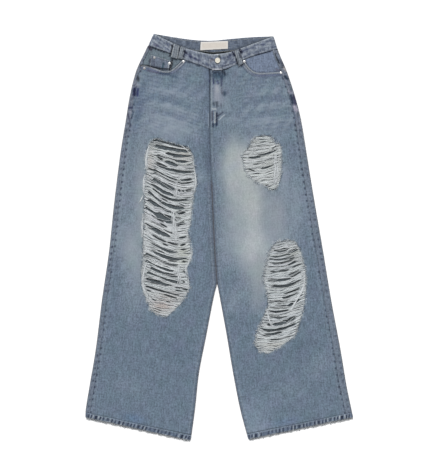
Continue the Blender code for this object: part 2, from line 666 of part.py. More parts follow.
def make_hem(side):
    """Turned-up hem: a flattened ring of doubled cloth round the foot of the leg."""
    low = row_ends(side, *HEM_ROW[side])
    high = row_ends(side, *raise_row(HEM_ROW[side], HEM_DEPTH))
    middle_radius = HEM_FOLD_RADIUS - HEM_WALL / 2
    marks = []
    for a in np.linspace(-np.pi / 2, -3 * np.pi / 2, FOLD_STEPS + 1):
        marks.append((0.0, HEM_FOLD_RADIUS, a))
    for a in np.linspace(np.pi / 2, -np.pi / 2, FOLD_STEPS + 1):
        marks.append((1.0, -HEM_FOLD_RADIUS, a))
    sections = []
    for share, inset, a in marks:
        section = []
        for (outer, inner), reach in ((low, HEM_WALL / 2), (high, HEM_WALL / 2),
                                      (high, -HEM_WALL / 2), (low, -HEM_WALL / 2)):
            along = (inner - outer) / np.linalg.norm(inner - outer)
            radius = middle_radius + reach
            place = outer + (inner - outer) * share + along * (inset + radius * math.cos(a))
            section.append((place[0], place[1], HEM_FOLD_RADIUS + radius * math.sin(a)))
        sections.append(section)
    loft("hem_" + side, sections, closed=True)


def make_label():
    """Bare cloth label on the inside of the back of the waistband."""
    base = SEAT_RISE + BAND_WALL + GAP
    slab("inside_label", LABEL_CORNERS, flat_height(base), flat_height(base + LABEL_WALL),
         finish="cream_label", spacing=60.0)


def make_button():
    """Shank button: a short neck and a dished cap with a rolled rim."""
    base = float(band_front_height(TAB_END)) + BAND_WALL / 2 + GAP
    r, h = BUTTON_RADIUS, BUTTON_HEIGHT
    profile = ((0.42 * r, 0.0), (0.42 * r, 0.34 * h), (0.86 * r, 0.42 * h), (r, 0.62 * h), (0.96 * r, 0.88 * h),
               (0.84 * r, h), (0.72 * r, 0.9 * h), (0.3 * r, 0.94 * h))
    turned("button", profile, BUTTON_CENTRE, base, "button_metal", steps=24)


def make_rivets():
    """Rivet heads: low domes with a small nipple."""
    base = SEAT_RISE + 2 * FOLD_RADIUS + GAP
    r, h = RIVET_RADIUS, RIVET_HEIGHT
    profile = ((0.92 * r, 0.0), (r, 0.25 * h), (0.86 * r, 0.6 * h), (0.4 * r, 0.72 * h), (0.3 * r, h))
    for name, x, y in RIVETS:
        turned(name, profile, (x, y), base, "rivet_metal", steps=16)


def centre_on_origin():
    """Move the whole object so that the middle of its underside is the origin."""
    bpy.context.view_layer.update()
    root = bpy.data.objects["jeans"]
    points = np.vstack([[v.co[:] for v in child.data.vertices] for child in root.children])
    low, high = points.min(axis=0), points.max(axis=0)
    root.location = (-(low[0] + high[0]) / 2, -(low[1] + high[1]) / 2, -low[2])


def main():
    for obj in list(bpy.data.objects):
        bpy.data.objects.remove(obj, do_unlink=True)
    root = bpy.data.objects.new("jeans", None)
    bpy.context.scene.collection.objects.link(root)
    for side in ("right", "left"):
        make_back_panel(side)
        make_yoke(side)
        make_front_panel(side)
        make_pocket_facing(side)
        make_back_pocket(side)
        make_hem(side)
    for rip in RIPS:
        make_rip_threads(rip)
    make_coin_pocket()
    make_waistband()
    make_front_loops()
    make_back_loops()
    make_label()
    make_button()
    make_rivets()
    centre_on_origin()


main()
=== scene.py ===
"""Looks of the ripped wide-leg jeans that lie flat, front up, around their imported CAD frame.

Right and left are the wearer's.  Tables are in millimetres from the cut's own zero, which the frame's box
places, and every mesh is turned to metres once, in `place`.  +Y is up to the waist, +Z off the surface.
"""

import math

import bpy
import numpy as np
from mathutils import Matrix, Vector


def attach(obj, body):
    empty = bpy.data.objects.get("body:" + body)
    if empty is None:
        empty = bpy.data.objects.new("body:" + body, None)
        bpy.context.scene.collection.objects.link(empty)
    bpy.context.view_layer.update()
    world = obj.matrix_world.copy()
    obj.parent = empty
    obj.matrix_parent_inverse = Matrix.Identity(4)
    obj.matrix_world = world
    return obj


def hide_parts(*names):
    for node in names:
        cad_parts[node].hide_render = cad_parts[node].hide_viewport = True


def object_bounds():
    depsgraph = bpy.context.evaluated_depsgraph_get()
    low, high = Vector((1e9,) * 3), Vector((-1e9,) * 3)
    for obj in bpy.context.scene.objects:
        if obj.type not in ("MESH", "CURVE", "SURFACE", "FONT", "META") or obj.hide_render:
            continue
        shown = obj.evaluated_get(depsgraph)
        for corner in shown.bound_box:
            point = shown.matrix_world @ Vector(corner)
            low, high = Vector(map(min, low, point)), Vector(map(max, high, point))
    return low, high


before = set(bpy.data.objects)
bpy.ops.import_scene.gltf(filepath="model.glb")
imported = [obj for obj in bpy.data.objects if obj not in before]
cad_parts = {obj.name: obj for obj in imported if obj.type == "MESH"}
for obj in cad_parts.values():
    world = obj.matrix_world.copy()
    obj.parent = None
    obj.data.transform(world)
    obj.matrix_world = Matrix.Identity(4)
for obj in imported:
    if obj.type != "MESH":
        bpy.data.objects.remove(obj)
cad_low, cad_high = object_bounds()

MM = 0.001
rng = np.random.default_rng(7)

# -------------------- sizes, in millimetres

CLOTH = 1.1                 # one layer of washed denim
SIDE_FOLD = 2.4             # outer radius where the back turns round the side
LEG_TOP = 4.8               # top of a front panel over the surface, in the leg
SEAT_RISE = 1.8             # the seat lies higher, on its pockets and loops
SEAT_RISE_START, SEAT_RISE_END = 190, 230
INSEAM_ROUND = 14           # the front's edge rolls down over this width at the inseam
RIPPLE = 0.5
HEM_DEPTH = 16
HEM_WALL = 2
HEM_FOLD = 2.7
BAND_WALL = 2.4
BAND_FOLD = 1.8
BAND_DEPTH = 34             # the waistband's grain is mapped on this depth
LAYER_GAP = 0.3             # between one layer of cloth and the next
LABEL_WALL = 0.7
BACK_POCKET_LIFT = 0.35     # the back pockets' face over the surface
STITCH_PITCH = 3.3
STITCH_SHARE = 0.74         # share of its pitch that a stitch shows on top
SEWING_STEP = 2             # sewn lines are laid in steps of this length
FLY_RISE = 0.9              # the fly's flap lies on the other front
THREAD_PITCH = 1            # between the weft threads left over a rip
STRAND_WIDTH = 7.5          # they hang together in strands about this wide
BAND_LEVEL = SEAT_RISE + 2 * BAND_FOLD + BAND_WALL / 2      # middle of the band's front over the panels
BAND_FACE = SEAT_RISE + 2 * BAND_FOLD + BAND_WALL
FACING_TOP = SEAT_RISE + 2 * SIDE_FOLD - CLOTH - 0.5
COIN_TOP = 6.85             # the coin pocket's face, where its stitches lie
SLIT_EASE = 1.3             # how much wider a slit stands than its table width
THREAD_HOLD = 4.2           # height at which a rip's edge holds its threads
FRAY_PER_MM = 2.2           # fibres along a rip's edge
FRAY_LONGEST = 9
FIBRE_STEPS = 5
SLIDE_REACH = 5             # a trimmed grid's new edge slides on to its cutter from this far
CROTCH = 165
APEX = -119                 # where the gap between the legs ends
FLY_EDGE = -24
INSEAM_FOOT = -510          # where the inseam's stitches start, above the hem
# Roping of the seams: pitch, seed
OUTSEAM_ROPE, INSEAM_ROPE, LIP_ROPE = (17, 11), (12, 13), (17, 47)

# Outer sides from hem to waist: height, right side, right outseam inset, left outseam inset, left side
SIDES = (
    (-477, -354, 12, 17, 355.6), (-450.5, -352.5, 12, 17, 350), (-387, -342, 12, 18, 337),
    (-291.5, -326, 12, 18, 321), (-164, -310, 12, 18, 297), (-37, -291.5, 12, 18, 276),
    (90, -278, 12, 18, 254), (217, -262, 12, 17, 233), (313, -246.5, 12, 16, 217), (376, -236, 11, 15, 201),
    (440, -220, 9, 15, 180), (493, -196, 7, 14, 158), (541, -173.3, 6, 12, 144),
)
# Inner sides below the gap's apex: height, right leg, left leg
INNER_SIDES = (
    (-538, -75.5, 78.8), (-450.5, -63.6, 55.7), (-355, -53, 37), (-260, -34.5, 21), (-164, -16, 3.5),
    (-119, -5, -5),
)
# The line where the legs touch, then the centre seam and the fly's edge: height, x
CENTRE_LINE = (
    (-119, -5), (-50, -10), (34.5, -14.6), (154, -19.6), (238, -23), (300, FLY_EDGE), (500, FLY_EDGE),
)
# Rows across a leg: height at the side, then at the inner edge, from the hem to the waist
LEVELS = {
    "right": ((-477, -538), (-95, -119), (150, 160), (458, 408), (508.8, 487)),
    "left": ((-477, -535), (-95, -119), (150, 160), (452, 408), (500.9, 487)),
}
BACK_CENTRE_AT_WAIST = -15

BAND_FRONT_TOP = ((-173.3, 540.6), (-98, 505.4), (-30.5, 487.6), (-5.3, 486.3), (23.9, 490.8),
                  (46.6, 497.4), (98, 516.8), (144.7, 534))
BAND_FRONT_FOOT = ((-187.6, 508.8), (-133, 489.5), (-94.6, 473), (-43.2, 454), (-14, 444.5),
                   (14.6, 446.5), (43.5, 458.5), (71.6, 475), (99.1, 484.2), (137, 495), (155, 500.9))
BAND_BACK_TOP = ((-173.3, 540.6), (-98, 528.2), (-50.4, 523.1), (-13.3, 522.6), (23.9, 526.3),
                 (82.2, 531.4), (144.7, 534))
BAND_BACK_FOOT = ((-187.6, 508.8), (-15, 487), (155, 500.9))
# Shares of the way round the front of the band, and of the way down it
TAB_END = 0.468
UNDERLAP_END = 0.60
TAB_DROP = (0.60, 0.665)    # the tab comes down from the underlap to the panels
BAND_SEWING = (0.13, 0.87)

POCKET_MOUTH = {
    "right": ((-98, 469), (-108.6, 458.8), (-118.2, 449.7), (-128.3, 443.3), (-138.3, 440.9),
              (-154.8, 443.3), (-171.2, 449.7), (-183.9, 454.2), (-206, 457.4)),
    "left": ((66.5, 468), (77.9, 452.4), (89.8, 441.8), (101.5, 437.5), (118.2, 437),
             (140.5, 438), (163, 439.6)),
}
COIN_POCKET = ((-179.5, 484.5), (-121.5, 467), (-128, 443), (-183.5, 453))
FRONT_LOOPS = {             # outer top, inner top, inner foot, outer foot
    "belt_loop_front_right_outer": ((-119, 515), (-105, 508.8), (-110.8, 473.5), (-127, 478)),
    "belt_loop_front_right_inner": ((-100.6, 507.5), (-89, 503.2), (-97.5, 472.4), (-108.2, 474.4)),
    "belt_loop_front_left": ((41, 497), (52, 500.5), (63, 460.5), (52, 453)),
}
BACK_LOOPS = {              # middle of its top, lean of its foot
    "belt_loop_back_right": ((-118, 531), -6),
    "belt_loop_back_centre": ((-15, 522), 0),
    "belt_loop_back_left": ((88, 530.5), 5),
}
BACK_POCKETS = {
    "right": ((-196, 414), (-62, 385), (-72, 262), (-134, 238), (-190, 282)),
    "left": ((158, 414), (30, 385), (40, 262), (102, 238), (156, 282)),
}
LABEL_CORNERS = ((-48.6, 519), (23.8, 521.5), (23.8, 500.6), (-49.6, 496.6))
BUTTON_CENTRE = (-3.7, 469.3)
RIVETS = {
    "rivet_right_front": (-94, 467.3), "rivet_right_side": (-197.4, 449), "rivet_left_front": (67, 467.2),
    "rivet_left_side": (164, 437), "rivet_coin_outer": (-171, 477), "rivet_coin_inner": (-131, 462),
}

# Edges of the rips, clockwise from the top
RIPS = {
    "right_leg": ((-167, 264), (-138, 254), (-104, 246), (-79, 237), (-70, 215), (-64, 172), (-60, 146),
                  (-66, 122), (-71, 88), (-76, 37), (-82, 19), (-76, -24), (-74, -53), (-87, -85),
                  (-82, -109), (-80, -135), (-101, -172), (-122, -193), (-142, -207), (-175, -196),
                  (-188, -172), (-197, -151), (-204, -117), (-204, -85), (-201, -50), (-202, -16),
                  (-200, 19), (-199, 72), (-197, 103), (-197, 146), (-192, 172), (-191, 215), (-184, 247)),
    "left_thigh": ((101, 268), (132, 270), (148, 252), (162, 244), (165, 215), (165, 193), (163, 160),
                   (152, 133), (138, 126), (117, 141), (93, 152), (71, 176), (63, 204), (63, 220), (79, 241),
                   (87, 258)),
    "left_knee": ((146, -19), (158, -11), (183, -6), (203, -13), (215, -36), (223, -62), (229, -90),
                  (229, -145), (221, -196), (210, -234), (199, -260), (166, -284), (138, -302), (122, -304),
                  (100, -291), (97, -264), (108, -234), (123, -196), (130, -175), (127, -145), (118, -107),
                  (123, -73), (137, -32)),
}
RIP_LEG = {"right_leg": "right", "left_thigh": "left", "left_knee": "left"}

# Rungs: how the weft threads cross each rip, top to bottom: left x, left y, right x, right y, sag
RUNGS = {
    "right_leg": ((-168, 255, -96, 235, 1), (-186, 240, -80, 228, 3), (-191, 226, -69, 208, 7),
                  (-191, 200, -64, 172, 12), (-195, 160, -62, 130, 16), (-197, 120, -68, 88, 19),
                  (-199, 72, -75, 42, 19), (-200, 19, -80, -8, 16), (-202, -16, -75, -42, 12),
                  (-202, -55, -84, -80, 8), (-204, -95, -82, -118, 4), (-202, -130, -88, -152, 3),
                  (-193, -160, -104, -177, 2), (-182, -185, -125, -196, 1), (-160, -204, -145, -206, 0)),
    "left_thigh": ((101, 267, 132, 269, 0), (84, 253, 148, 254, 1), (70, 229, 163, 243, 3),
                   (63, 210, 166, 230, 5), (66, 190, 166, 207, 5), (76, 170, 165, 186, 5),
                   (95, 151, 164, 165, 4), (117, 141, 160, 148, 2), (136, 127, 150, 132, 0)),
    "left_knee": ((149, -8, 198, -3, 2), (137, -32, 206, -22, 4), (128, -58, 217, -44, 6),
                  (121, -85, 226, -68, 8), (118, -107, 229, -88, 10), (122, -127, 229, -108, 11),
                  (127, -150, 229, -132, 10), (130, -175, 226, -162, 9), (123, -196, 221, -184, 9),
                  (114, -222, 211, -208, 12), (106, -245, 202, -234, 10), (101, -266, 190, -264, 7),
                  (103, -288, 170, -286, 2), (124, -304, 141, -304, 0)),
}
SAG_PEAK = {"right_leg": 0.62, "left_thigh": 0.45, "left_knee": 0.46}

# Slits between the bundles of thread: start x, y, end x, y, dip at the middle, width
SLITS = {
    "right_leg": (
        (-169, 248, -76, 227, 4, 7.5), (-141, 225, -72, 216, 3, 4.5), (-164, 223, -112, 203, 2, 1.8),
        (-116, 203, -84, 202, 1, 5), (-142, 203, -110, 190, 0, 7.5), (-165, 192, -71, 175, 6, 4.5),
        (-174, 184, -109, 152, 4, 1.8), (-174, 178, -111, 144, 4, 3), (-102, 151, -71, 157, 1, 4.5),
        (-104, 143, -68, 149, 0, 1.2), (-174, 159, -114, 126, 5, 10.5), (-178, 143, -117, 111, 5, 7.5),
        (-110, 125, -103, 125, 0, 5.5), (-100, 123, -93, 124, 0, 4.5), (-88, 125, -73, 127, 0, 4),
        (-176, 133, -82, 104, 16, 2.2), (-186, 126, -150, 91, 3, 3.5), (-154, 92, -93, 82, 5, 7),
        (-186, 103, -117, 60, 5, 8), (-114, 68, -99, 71, 0, 1.5), (-109, 62, -90, 68, 0, 3.5),
        (-196, 86, -158, 58, 2, 3.5), (-168, 58, -115, 42, 0, 17), (-108, 37, -91, 44, 0, 4),
        (-179, 43, -141, 25, 0, 1.5), (-156, 39, -138, 29, 0, 2), (-194, 40, -172, 23, 0, 4),
        (-176, 27, -130, 3, 2, 10), (-107, -3, -88, 4, 0, 5), (-177, 10, -138, -11, 2, 4),
        (-138, -11, -109, -19, 0, 2), (-177, -12, -110, -38, 6, 4), (-177, -29, -84, -51, 14, 4),
        (-194, -36, -110, -73, 6, 0.5), (-157, -60, -109, -75, 2, 1), (-195, -53, -118, -89, 7, 1.6),
        (-180, -76, -108, -105, 5, 3.2), (-189, -87, -105, -121, 3, 1.8), (-193, -107, -135, -127, 0, 6.8),
        (-195, -125, -105, -152, 3, 1.8), (-146, -149, -112, -160, 0, 1.6), (-178, -159, -168, -166, 0, 1.4),
        (-98, -86, -87, -89, 0, 3), (-95, -116, -89, -118, 0, 3), (-101, -133, -82, -138, 0, 1.6),
        (-101, -20, -90, -17, 0, 2.5), (-99, -29, -92, -31, 0, 3), (-96, -61, -88, -64, 0, 1.5),
    ),
    "left_thigh": (
        (80, 213, 110, 217, 2, 3.2), (102, 219, 153, 236, 4, 3.6), (95, 202, 128, 206, 1, -0.6),
        (89, 196, 106, 198, 1, 0), (110, 184, 136, 191, 2, 1.8), (77, 184, 94, 176, 0, 0.8),
        (92, 242, 142, 246, 1, -0.6), (140, 235, 153, 245, 0, 0.6),
    ),
    "left_knee": (
        (146, -31, 186, -27, 7, 0.8), (138, -49, 190, -38, 5, 0.4), (182, -40, 207, -30, 0, 6.2),
        (134, -53, 199, -43, 9, 0.6), (140, -66, 198, -54, 5, 0.9), (185, -73, 203, -60, 0, 2.2),
        (193, -78, 218, -68, 0, 1.2), (185, -98, 213, -86, 0, 2.4), (190, -103, 218, -88, 0, 3.2),
        (131, -109, 191, -108, 4, 5), (140, -126, 218, -110, 8, 4), (172, -149, 213, -134, 1, 2.4),
        (168, -161, 208, -144, 1, 3.4), (142, -165, 184, -166, 3, 2), (150, -178, 180, -178, 1, 0.6),
        (184, -181, 197, -173, 0, 6.5), (201, -171, 213, -163, 0, 3.8), (135, -183, 188, -183, 2, 1),
        (132, -193, 186, -189, 4, 1.8), (135, -206, 162, -210, 1, 3.2), (128, -228, 138, -232, 0, 3),
        (142, -229, 203, -208, 6, 9.5), (115, -243, 201, -225, 9, 4.2), (119, -255, 166, -248, 4, 5.5),
        (138, -272, 190, -259, 1, 0.6),
    ),
}
# Short partings: how many more of them each rip has
PARTINGS = {"right_leg": 34, "left_thigh": 2, "left_knee": 10}
# Undyed cotton of each rip's threads, then how dark the painted shade is in the valleys between its strands
COTTON = {"right_leg": "dde2e4", "left_thigh": "dce1e2", "left_knee": "d5dbde"}
VALLEY_SHADE = {"right_leg": 0.85, "left_thigh": 0.4, "left_knee": 0.7}

# Stains on the threads: x, y, reach across, reach along, colour
THREAD_TINTS = {
    "right_leg": (
        (-152, -182, 26, 14, "b9998b"), (-140, -160, 34, 16, "c3b2aa"), (-95, -45, 18, 26, "b9bda4"),
        (-90, 225, 20, 34, "c6bdb0"), (-185, 205, 12, 30, "cbbfb5"), (-160, 60, 20, 30, "c3c0d0"),
    ),
    "left_thigh": ((140, 205, 30, 30, "c4c8c2"),),
    "left_knee": ((150, -285, 40, 14, "d2cdc2"), (200, -40, 20, 20, "c6c9c0")),
}
# Strands that lie over the rest: their run, number of threads, spread
STRAYS = {
    "right_leg": (
        (((-201, 113), (-206, 101), (-214, 86)), 5, 1.2),
        (((-190, -60), (-199, -85), (-201, -122), (-190, -151), (-170, -178)), 9, 2.2),
        (((-120, 74), (-119, 50), (-117, 22), (-112, -14)), 15, 4.5),
        (((-113, 160), (-115, 140), (-113, 122), (-117, 104)), 6, 3),
        (((-103, -70), (-108, -88), (-104, -106), (-107, -122)), 9, 2.6),
        (((-76, -24), (-73, -42), (-80, -62), (-88, -80), (-84, -100), (-81, -122)), 7, 2),
        (((-100, 244), (-90, 238), (-80, 226)), 5, 1.2),
        (((-68, 205), (-64, 172), (-61, 146), (-66, 124)), 8, 1.2),
        (((-184, 248), (-190, 226), (-194, 204), (-191, 182)), 14, 2.8),
        (((-195, 168), (-200, 140), (-198, 112)), 10, 2.4),
        (((-200, 62), (-204, 30), (-203, 0)), 8, 2.2),
    ),
    "left_thigh": (
        (((150, 224), (149, 200), (150, 175), (145, 144)), 17, 6),
    ),
    "left_knee": (
        (((224, -95), (224, -127), (210, -156), (188, -194)), 13, 1.6),
        (((126, -188), (131, -208), (139, -231)), 7, 1.4),
    ),
}

# Fades: x, y, reach across, reach along, turn in degrees, strength, colour
# The narrow dark ones down the centre line, at x -20 and -14, are painted shade where the legs meet
FADES = (
    (-202, 90, 30, 170, 0, 0.95, "949ea6"), (-240, 60, 26, 200, 0, 0.45, "808d9b"),
    (-160, 318, 56, 40, -8, 0.66, "85919f"), (-120, 316, 60, 30, -8, 0.55, "8390a0"),
    (-205, -75, 28, 70, 0, 0.8, "8a96a0"), (-55, 80, 16, 170, 0, 0.4, "78879a"),
    (-95, 388, 60, 30, -10, 0.4, "77869a"), (-175, 385, 40, 30, -10, 0.35, "76869b"),
    (62, 190, 52, 60, 0, 0.98, "c4c9c5"), (78, 88, 52, 84, 0, 0.95, "b2b8b8"),
    (90, -18, 44, 44, 0, 0.95, "bac0c4"), (82, -10, 36, 110, 0, 0.6, "b8bec0"),
    (118, -40, 40, 50, 0, 0.6, "aab2b8"), (20, -30, 40, 60, 0, 0.4, "929eaa"),
    (104, -160, 26, 44, 0, 0.6, "939da6"), (160, 8, 34, 30, 0, 0.6, "97a2ad"),
    (36, 175, 18, 70, 0, 0.85, "b9bfbf"), (-234, -30, 26, 60, 0, 0.75, "9ba5ae"),
    (-228, -150, 34, 60, 0, 0.45, "8995a3"), (-130, 284, 56, 26, -8, 0.7, "929dab"),
    (215, -290, 40, 34, 0, 0.5, "5f7080"), (90, -470, 46, 46, 0, 0.45, "8b9bad"),
    (40, 150, 30, 120, 0, 0.5, "a0a9ae"), (-262, 170, 22, 190, -3, 0.5, "8b96a3"),
    (-212, 346, 14, 66, -10, 0.7, "5c6b83"), (-228, 424, 20, 50, -8, 0.5, "8a93a0"),
    (-225, -478, 30, 13, -13, 0.6, "64799a"), (82, -506, 60, 13, 9, 0.5, "8d9aab"),
    (175, -486, 40, 9, 9, 0.4, "6a80a0"), (50, 30, 34, 70, 0, 0.7, "98a3ab"),
    (18, 50, 18, 90, 0, 0.4, "8a96a1"), (112, -92, 30, 56, 0, 0.85, "9ba3a8"),
    (152, 62, 34, 66, 0, 0.85, "969ea7"), (203, 88, 26, 95, 0, 0.7, "8b98a5"),
    (172, 165, 18, 56, 0, 0.6, "94a0ac"), (240, 90, 14, 110, 0, 0.5, "7d8b9b"),
    (112, 318, 70, 28, 4, 0.7, "7f8d9d"), (95, 388, 60, 30, 6, 0.45, "768396"),
    (130, 275, 50, 30, 0, 0.4, "8b97a5"), (-20, 40, 13, 190, 2, 0.75, "626f7f"),
    (-14, -60, 10, 70, 2, 0.6, "64707f"), (-4, 372, 22, 34, 0, 0.75, "8b93a0"),
    (-3, 432, 26, 12, 0, 0.8, "4e5f75"), (15, 382, 7, 10, 0, 0.7, "55667a"),
    (-250, 300, 14, 120, -6, 0.5, "667488"), (-330, -250, 14, 260, -4, 0.3, "737f8f"),
    (-120, 425, 60, 12, -8, 0.35, "667688"), (115, 422, 55, 12, 2, 0.3, "667688"),
)

# Brushed marks of wear, of unrubbed indigo and of painted shadow: start x, y, end x, y, half its width,
# strength, colour
MARKS_AND_SHADOWS = (
    # the fly
    (-17, 440, -8, 437, 2.8, 0.9, "1f2a3c"), (-3, 440, 2, 434, 3.2, 0.85, "222d40"),
    (9, 441, 17, 433, 5, 0.95, "1a2536"), (6, 430, 7, 422, 2.6, 0.85, "202a42"),
    (-16, 430, 10, 427, 6, 0.6, "33475a"), (-27, 446, -24, 430, 2, 0.6, "262e3c"),
    (19, 440, 20, 413, 2.4, 0.5, "8796a5"), (-25, 417, -25, 412, 2, 0.85, "272d50"),
    (-15, 419, -14, 408, 2.2, 0.85, "2b3152"), (-5, 415, -2, 409, 3, 0.75, "343b62"),
    (6, 421, 7, 402, 1.8, 0.85, "2d3156"), (-6, 401, -6, 371, 8, 0.85, "969caa"),
    (-5, 400, -4, 388, 4.5, 0.6, "a9afb6"), (7, 396, 8, 382, 1.9, 0.6, "4a4a58"),
    (14, 385, 15, 379, 3.4, 0.9, "2e3f50"), (-15, 357, -13, 351, 3, 0.7, "3f4b59"),
    (-6, 359, -5, 348, 2.8, 0.8, "3c4653"), (5, 356, 5, 342, 1.5, 0.7, "474d60"),
    (-17, 342, -9, 341, 2.6, 0.85, "b4bdc2"), (-18.5, 335, -18, 311, 2, 0.85, "39384a"),
    (-11, 334, -11, 314, 1, 0.95, "c9cdce"), (-6, 330, -6, 300, 2.3, 0.95, "171d30"),
    (-16, 303, -16, 295, 2.8, 0.9, "1b2942"), (-6, 303, -7, 297, 2.6, 0.8, "22304a"),
    (-11.5, 310, -11.5, 306, 2, 0.85, "d5dadb"), (-3, 322, 0, 325, 1.7, 0.9, "2c3348"),
    (2, 326, 5, 329, 1.7, 0.9, "2c3348"), (8, 331, 11, 333, 1.7, 0.85, "343b50"),
    (-1, 313, 14, 325, 1.1, 0.9, "c5ccd2"), (20, 372, 24, 340, 8, 0.4, "8fa0ab"),
    (-28, 330, -28, 292, 1.2, 0.5, "a3adb4"),
    # under the waistband, on the right, with painted shadows beside the belt loops and under the band
    (-176, 503, -143, 491, 1.7, 0.95, "161c2a"), (-187, 507, -180, 499, 4, 0.85, "33303f"),
    (-170, 511, -162, 509, 2.2, 0.6, "4a4664"), (-124.5, 510, -123.5, 506, 2.8, 0.95, "171b28"),
    (-125, 500, -131, 481, 2, 0.9, "171b28"), (-127, 475, -112, 471, 1.6, 0.7, "2a3240"),
    (-91, 494, -87, 489, 3.2, 0.95, "171b30"), (-92, 486, -94, 479, 2.2, 0.85, "1d2236"),
    (-104, 504, -106, 492, 1.6, 0.8, "232836"), (-84, 486, -72, 481, 2.4, 0.55, "4a4f70"),
    (-88, 468, -50, 454.5, 1.9, 0.9, "232b3d"), (-78, 480, -72, 478, 2.6, 0.9, "262b4a"),
    (-66, 476, -61, 474, 2.6, 0.9, "262b4a"), (-55, 471.5, -50, 470, 2.4, 0.75, "2d3350"),
    (-90, 500, -60, 492, 1.8, 0.5, "9aa3b4"), (-84, 477, -50, 463, 1.5, 0.4, "a8b0bd"),
    # the coin pocket and the right mouth, with painted shadows beside the coin pocket and above the mouth's
    # edge
    (-124, 470, -129.5, 446, 3.2, 0.95, "10151f"), (-181.5, 474, -184.5, 463, 2.2, 0.7, "343448"),
    (-147, 462, -150, 447, 2.6, 0.75, "27414f"), (-134, 461, -134.5, 445, 1.4, 0.9, "c9d0d6"),
    (-172, 468, -171, 458, 1.8, 0.6, "3f4052"), (-188, 455.5, -157, 449, 2.2, 0.95, "1a1e2a"),
    (-157, 448.5, -130, 446.5, 2.2, 0.9, "151b26"), (-208, 457, -190, 456, 2, 0.6, "3e3b3c"),
    (-184, 449.5, -157, 443, 1.3, 0.5, "b0acbd"), (-190, 443, -160, 437, 2.2, 0.65, "4a4660"),
    (-156, 436, -131, 434, 3.4, 0.65, "33445a"), (-128, 431, -113, 427, 5, 0.5, "46586c"),
    # round the button, and on the left, with painted shadows beside the button, the left belt loop and at the
    # head of the thigh's rip
    (-23, 469.6, -12.5, 469.2, 1.5, 0.9, "3d2f3a"), (-7.5, 487, -4, 487, 2.4, 0.95, "e2e5ea"),
    (0, 481.5, 1.5, 479.5, 2.6, 0.85, "30332f"), (-21, 450.5, 9, 450, 1.3, 0.8, "333845"),
    (-17, 445.8, 8, 446, 1.5, 0.9, "c7cad2"), (11, 453, 36, 460.5, 1.3, 0.75, "2c3346"),
    (11, 456, 34, 463.5, 1.2, 0.6, "b0b6c0"), (12, 449.5, 38, 457.5, 1.2, 0.5, "aab1bc"),
    (36, 491, 41.5, 482, 2.6, 0.95, "12172e"), (34, 488, 22, 478.5, 1.5, 0.85, "232a44"),
    (30, 480, 18, 466, 1.8, 0.6, "343c5a"), (38, 474, 28, 464, 1.8, 0.6, "343c5a"),
    (55, 497, 60, 491, 3.4, 0.95, "10142a"), (52.5, 489, 57, 477, 1.6, 0.8, "1d2338"),
    (45, 474, 50, 458, 2.4, 0.85, "141a28"), (65, 461, 60, 455, 2.2, 0.85, "141a28"),
    (62, 494, 76, 499, 1.8, 0.7, "2f3756"), (98, 484.5, 136, 494.5, 1.4, 0.85, "2b3548"),
    (96, 492, 112, 500, 1.5, 0.5, "394258"), (147, 487, 159, 463, 1.9, 0.95, "141c28"),
    (144, 494, 152, 471, 1.1, 0.55, "aab4bc"), (164, 466, 171, 455, 3.4, 0.7, "363b4c"),
    (172, 451, 177, 444, 4, 0.7, "a39c9a"), (175, 427, 181, 421, 3.6, 0.95, "1a2a3c"),
    (189, 398, 191, 393, 2.8, 0.6, "45525c"), (185, 388, 196, 384, 3.6, 0.6, "9a99aa"),
    (190, 377, 195, 357, 3.2, 0.9, "223046"), (198, 376, 202, 355, 4.2, 0.85, "33344e"),
    (194, 352, 203, 313, 1.5, 0.6, "3f4f6a"), (200, 347, 206, 337, 5.5, 0.8, "a9a4b4"),
    (208, 333, 209, 328, 3, 0.6, "4a5560"), (150, 446.5, 164, 444, 1.4, 0.7, "4a3c44"),
    (138, 133, 152, 138, 3.6, 0.85, "56707a"), (112, 270, 114, 269, 2.4, 0.9, "1c2230"),
    (118, 273, 140, 271, 1.4, 0.6, "3a4058"), (146, 264, 150, 258, 1.8, 0.7, "2c3248"),
    # the head of the knee's rip: a painted shadow along its rim
    (142, -25, 154, -14, 1.8, 0.55, "59636f"), (156, -12, 186, -6, 1.8, 0.55, "59636f"),
    (190, -7, 205, -13, 1.8, 0.45, "59636f"),
    # the right side
    (-215, 426, -213, 417, 3.6, 0.85, "363d46"), (-221, 408, -214, 402, 5, 0.5, "989aa8"),
    (-223, 395, -224.5, 379, 4.2, 0.95, "181d40"), (-214.5, 394, -216.5, 377, 3, 0.85, "252b58"),
    (-221.5, 366, -224, 350, 2, 0.5, "41546a"), (-227, 333, -230, 322, 1.9, 0.8, "33445a"),
    (-238, 345, -230, 345, 3.4, 0.9, "363d5a"), (-236, 335, -232, 331, 3, 0.6, "a0a2b2"),
    (-240.5, 328, -238.5, 316, 2.4, 0.75, "3f4057"), (-237, 315, -234, 293, 1.6, 0.7, "3d4258"),
    (-246, 284, -245, 279, 2.8, 0.6, "45535c"),
)

# Whiskers and soft creases on the front: start x, y, end x, y, width, height
CREASES = (
    (-205, 392, -52, 362, 9, 0.6), (-212, 372, -60, 336, 8, -0.5), (-200, 356, -48, 318, 8, 0.7),
    (-196, 338, -70, 300, 7, -0.5), (-188, 322, -50, 284, 8, 0.6), (-150, 298, -44, 262, 7, 0.5),
    (70, 372, 192, 388, 8, 0.5), (58, 352, 200, 368, 8, -0.4), (64, 334, 205, 350, 8, 0.6),
    (52, 312, 196, 330, 7, -0.4), (60, 296, 205, 308, 8, 0.5), (-8, 300, 60, 318, 8, 0.4),
    (-30, 150, -110, 210, 14, 0.7), (-6, 150, 70, 205, 14, 0.6), (-300, -60, -240, 40, 20, 0.5),
    (30, -210, 60, -120, 22, 0.5), (-60, -330, -150, -260, 26, -0.3), (240, -380, 300, -300, 26, 0.3),
    (-300, -380, -180, -420, 24, 0.2), (120, -420, 250, -400, 24, 0.2),
)

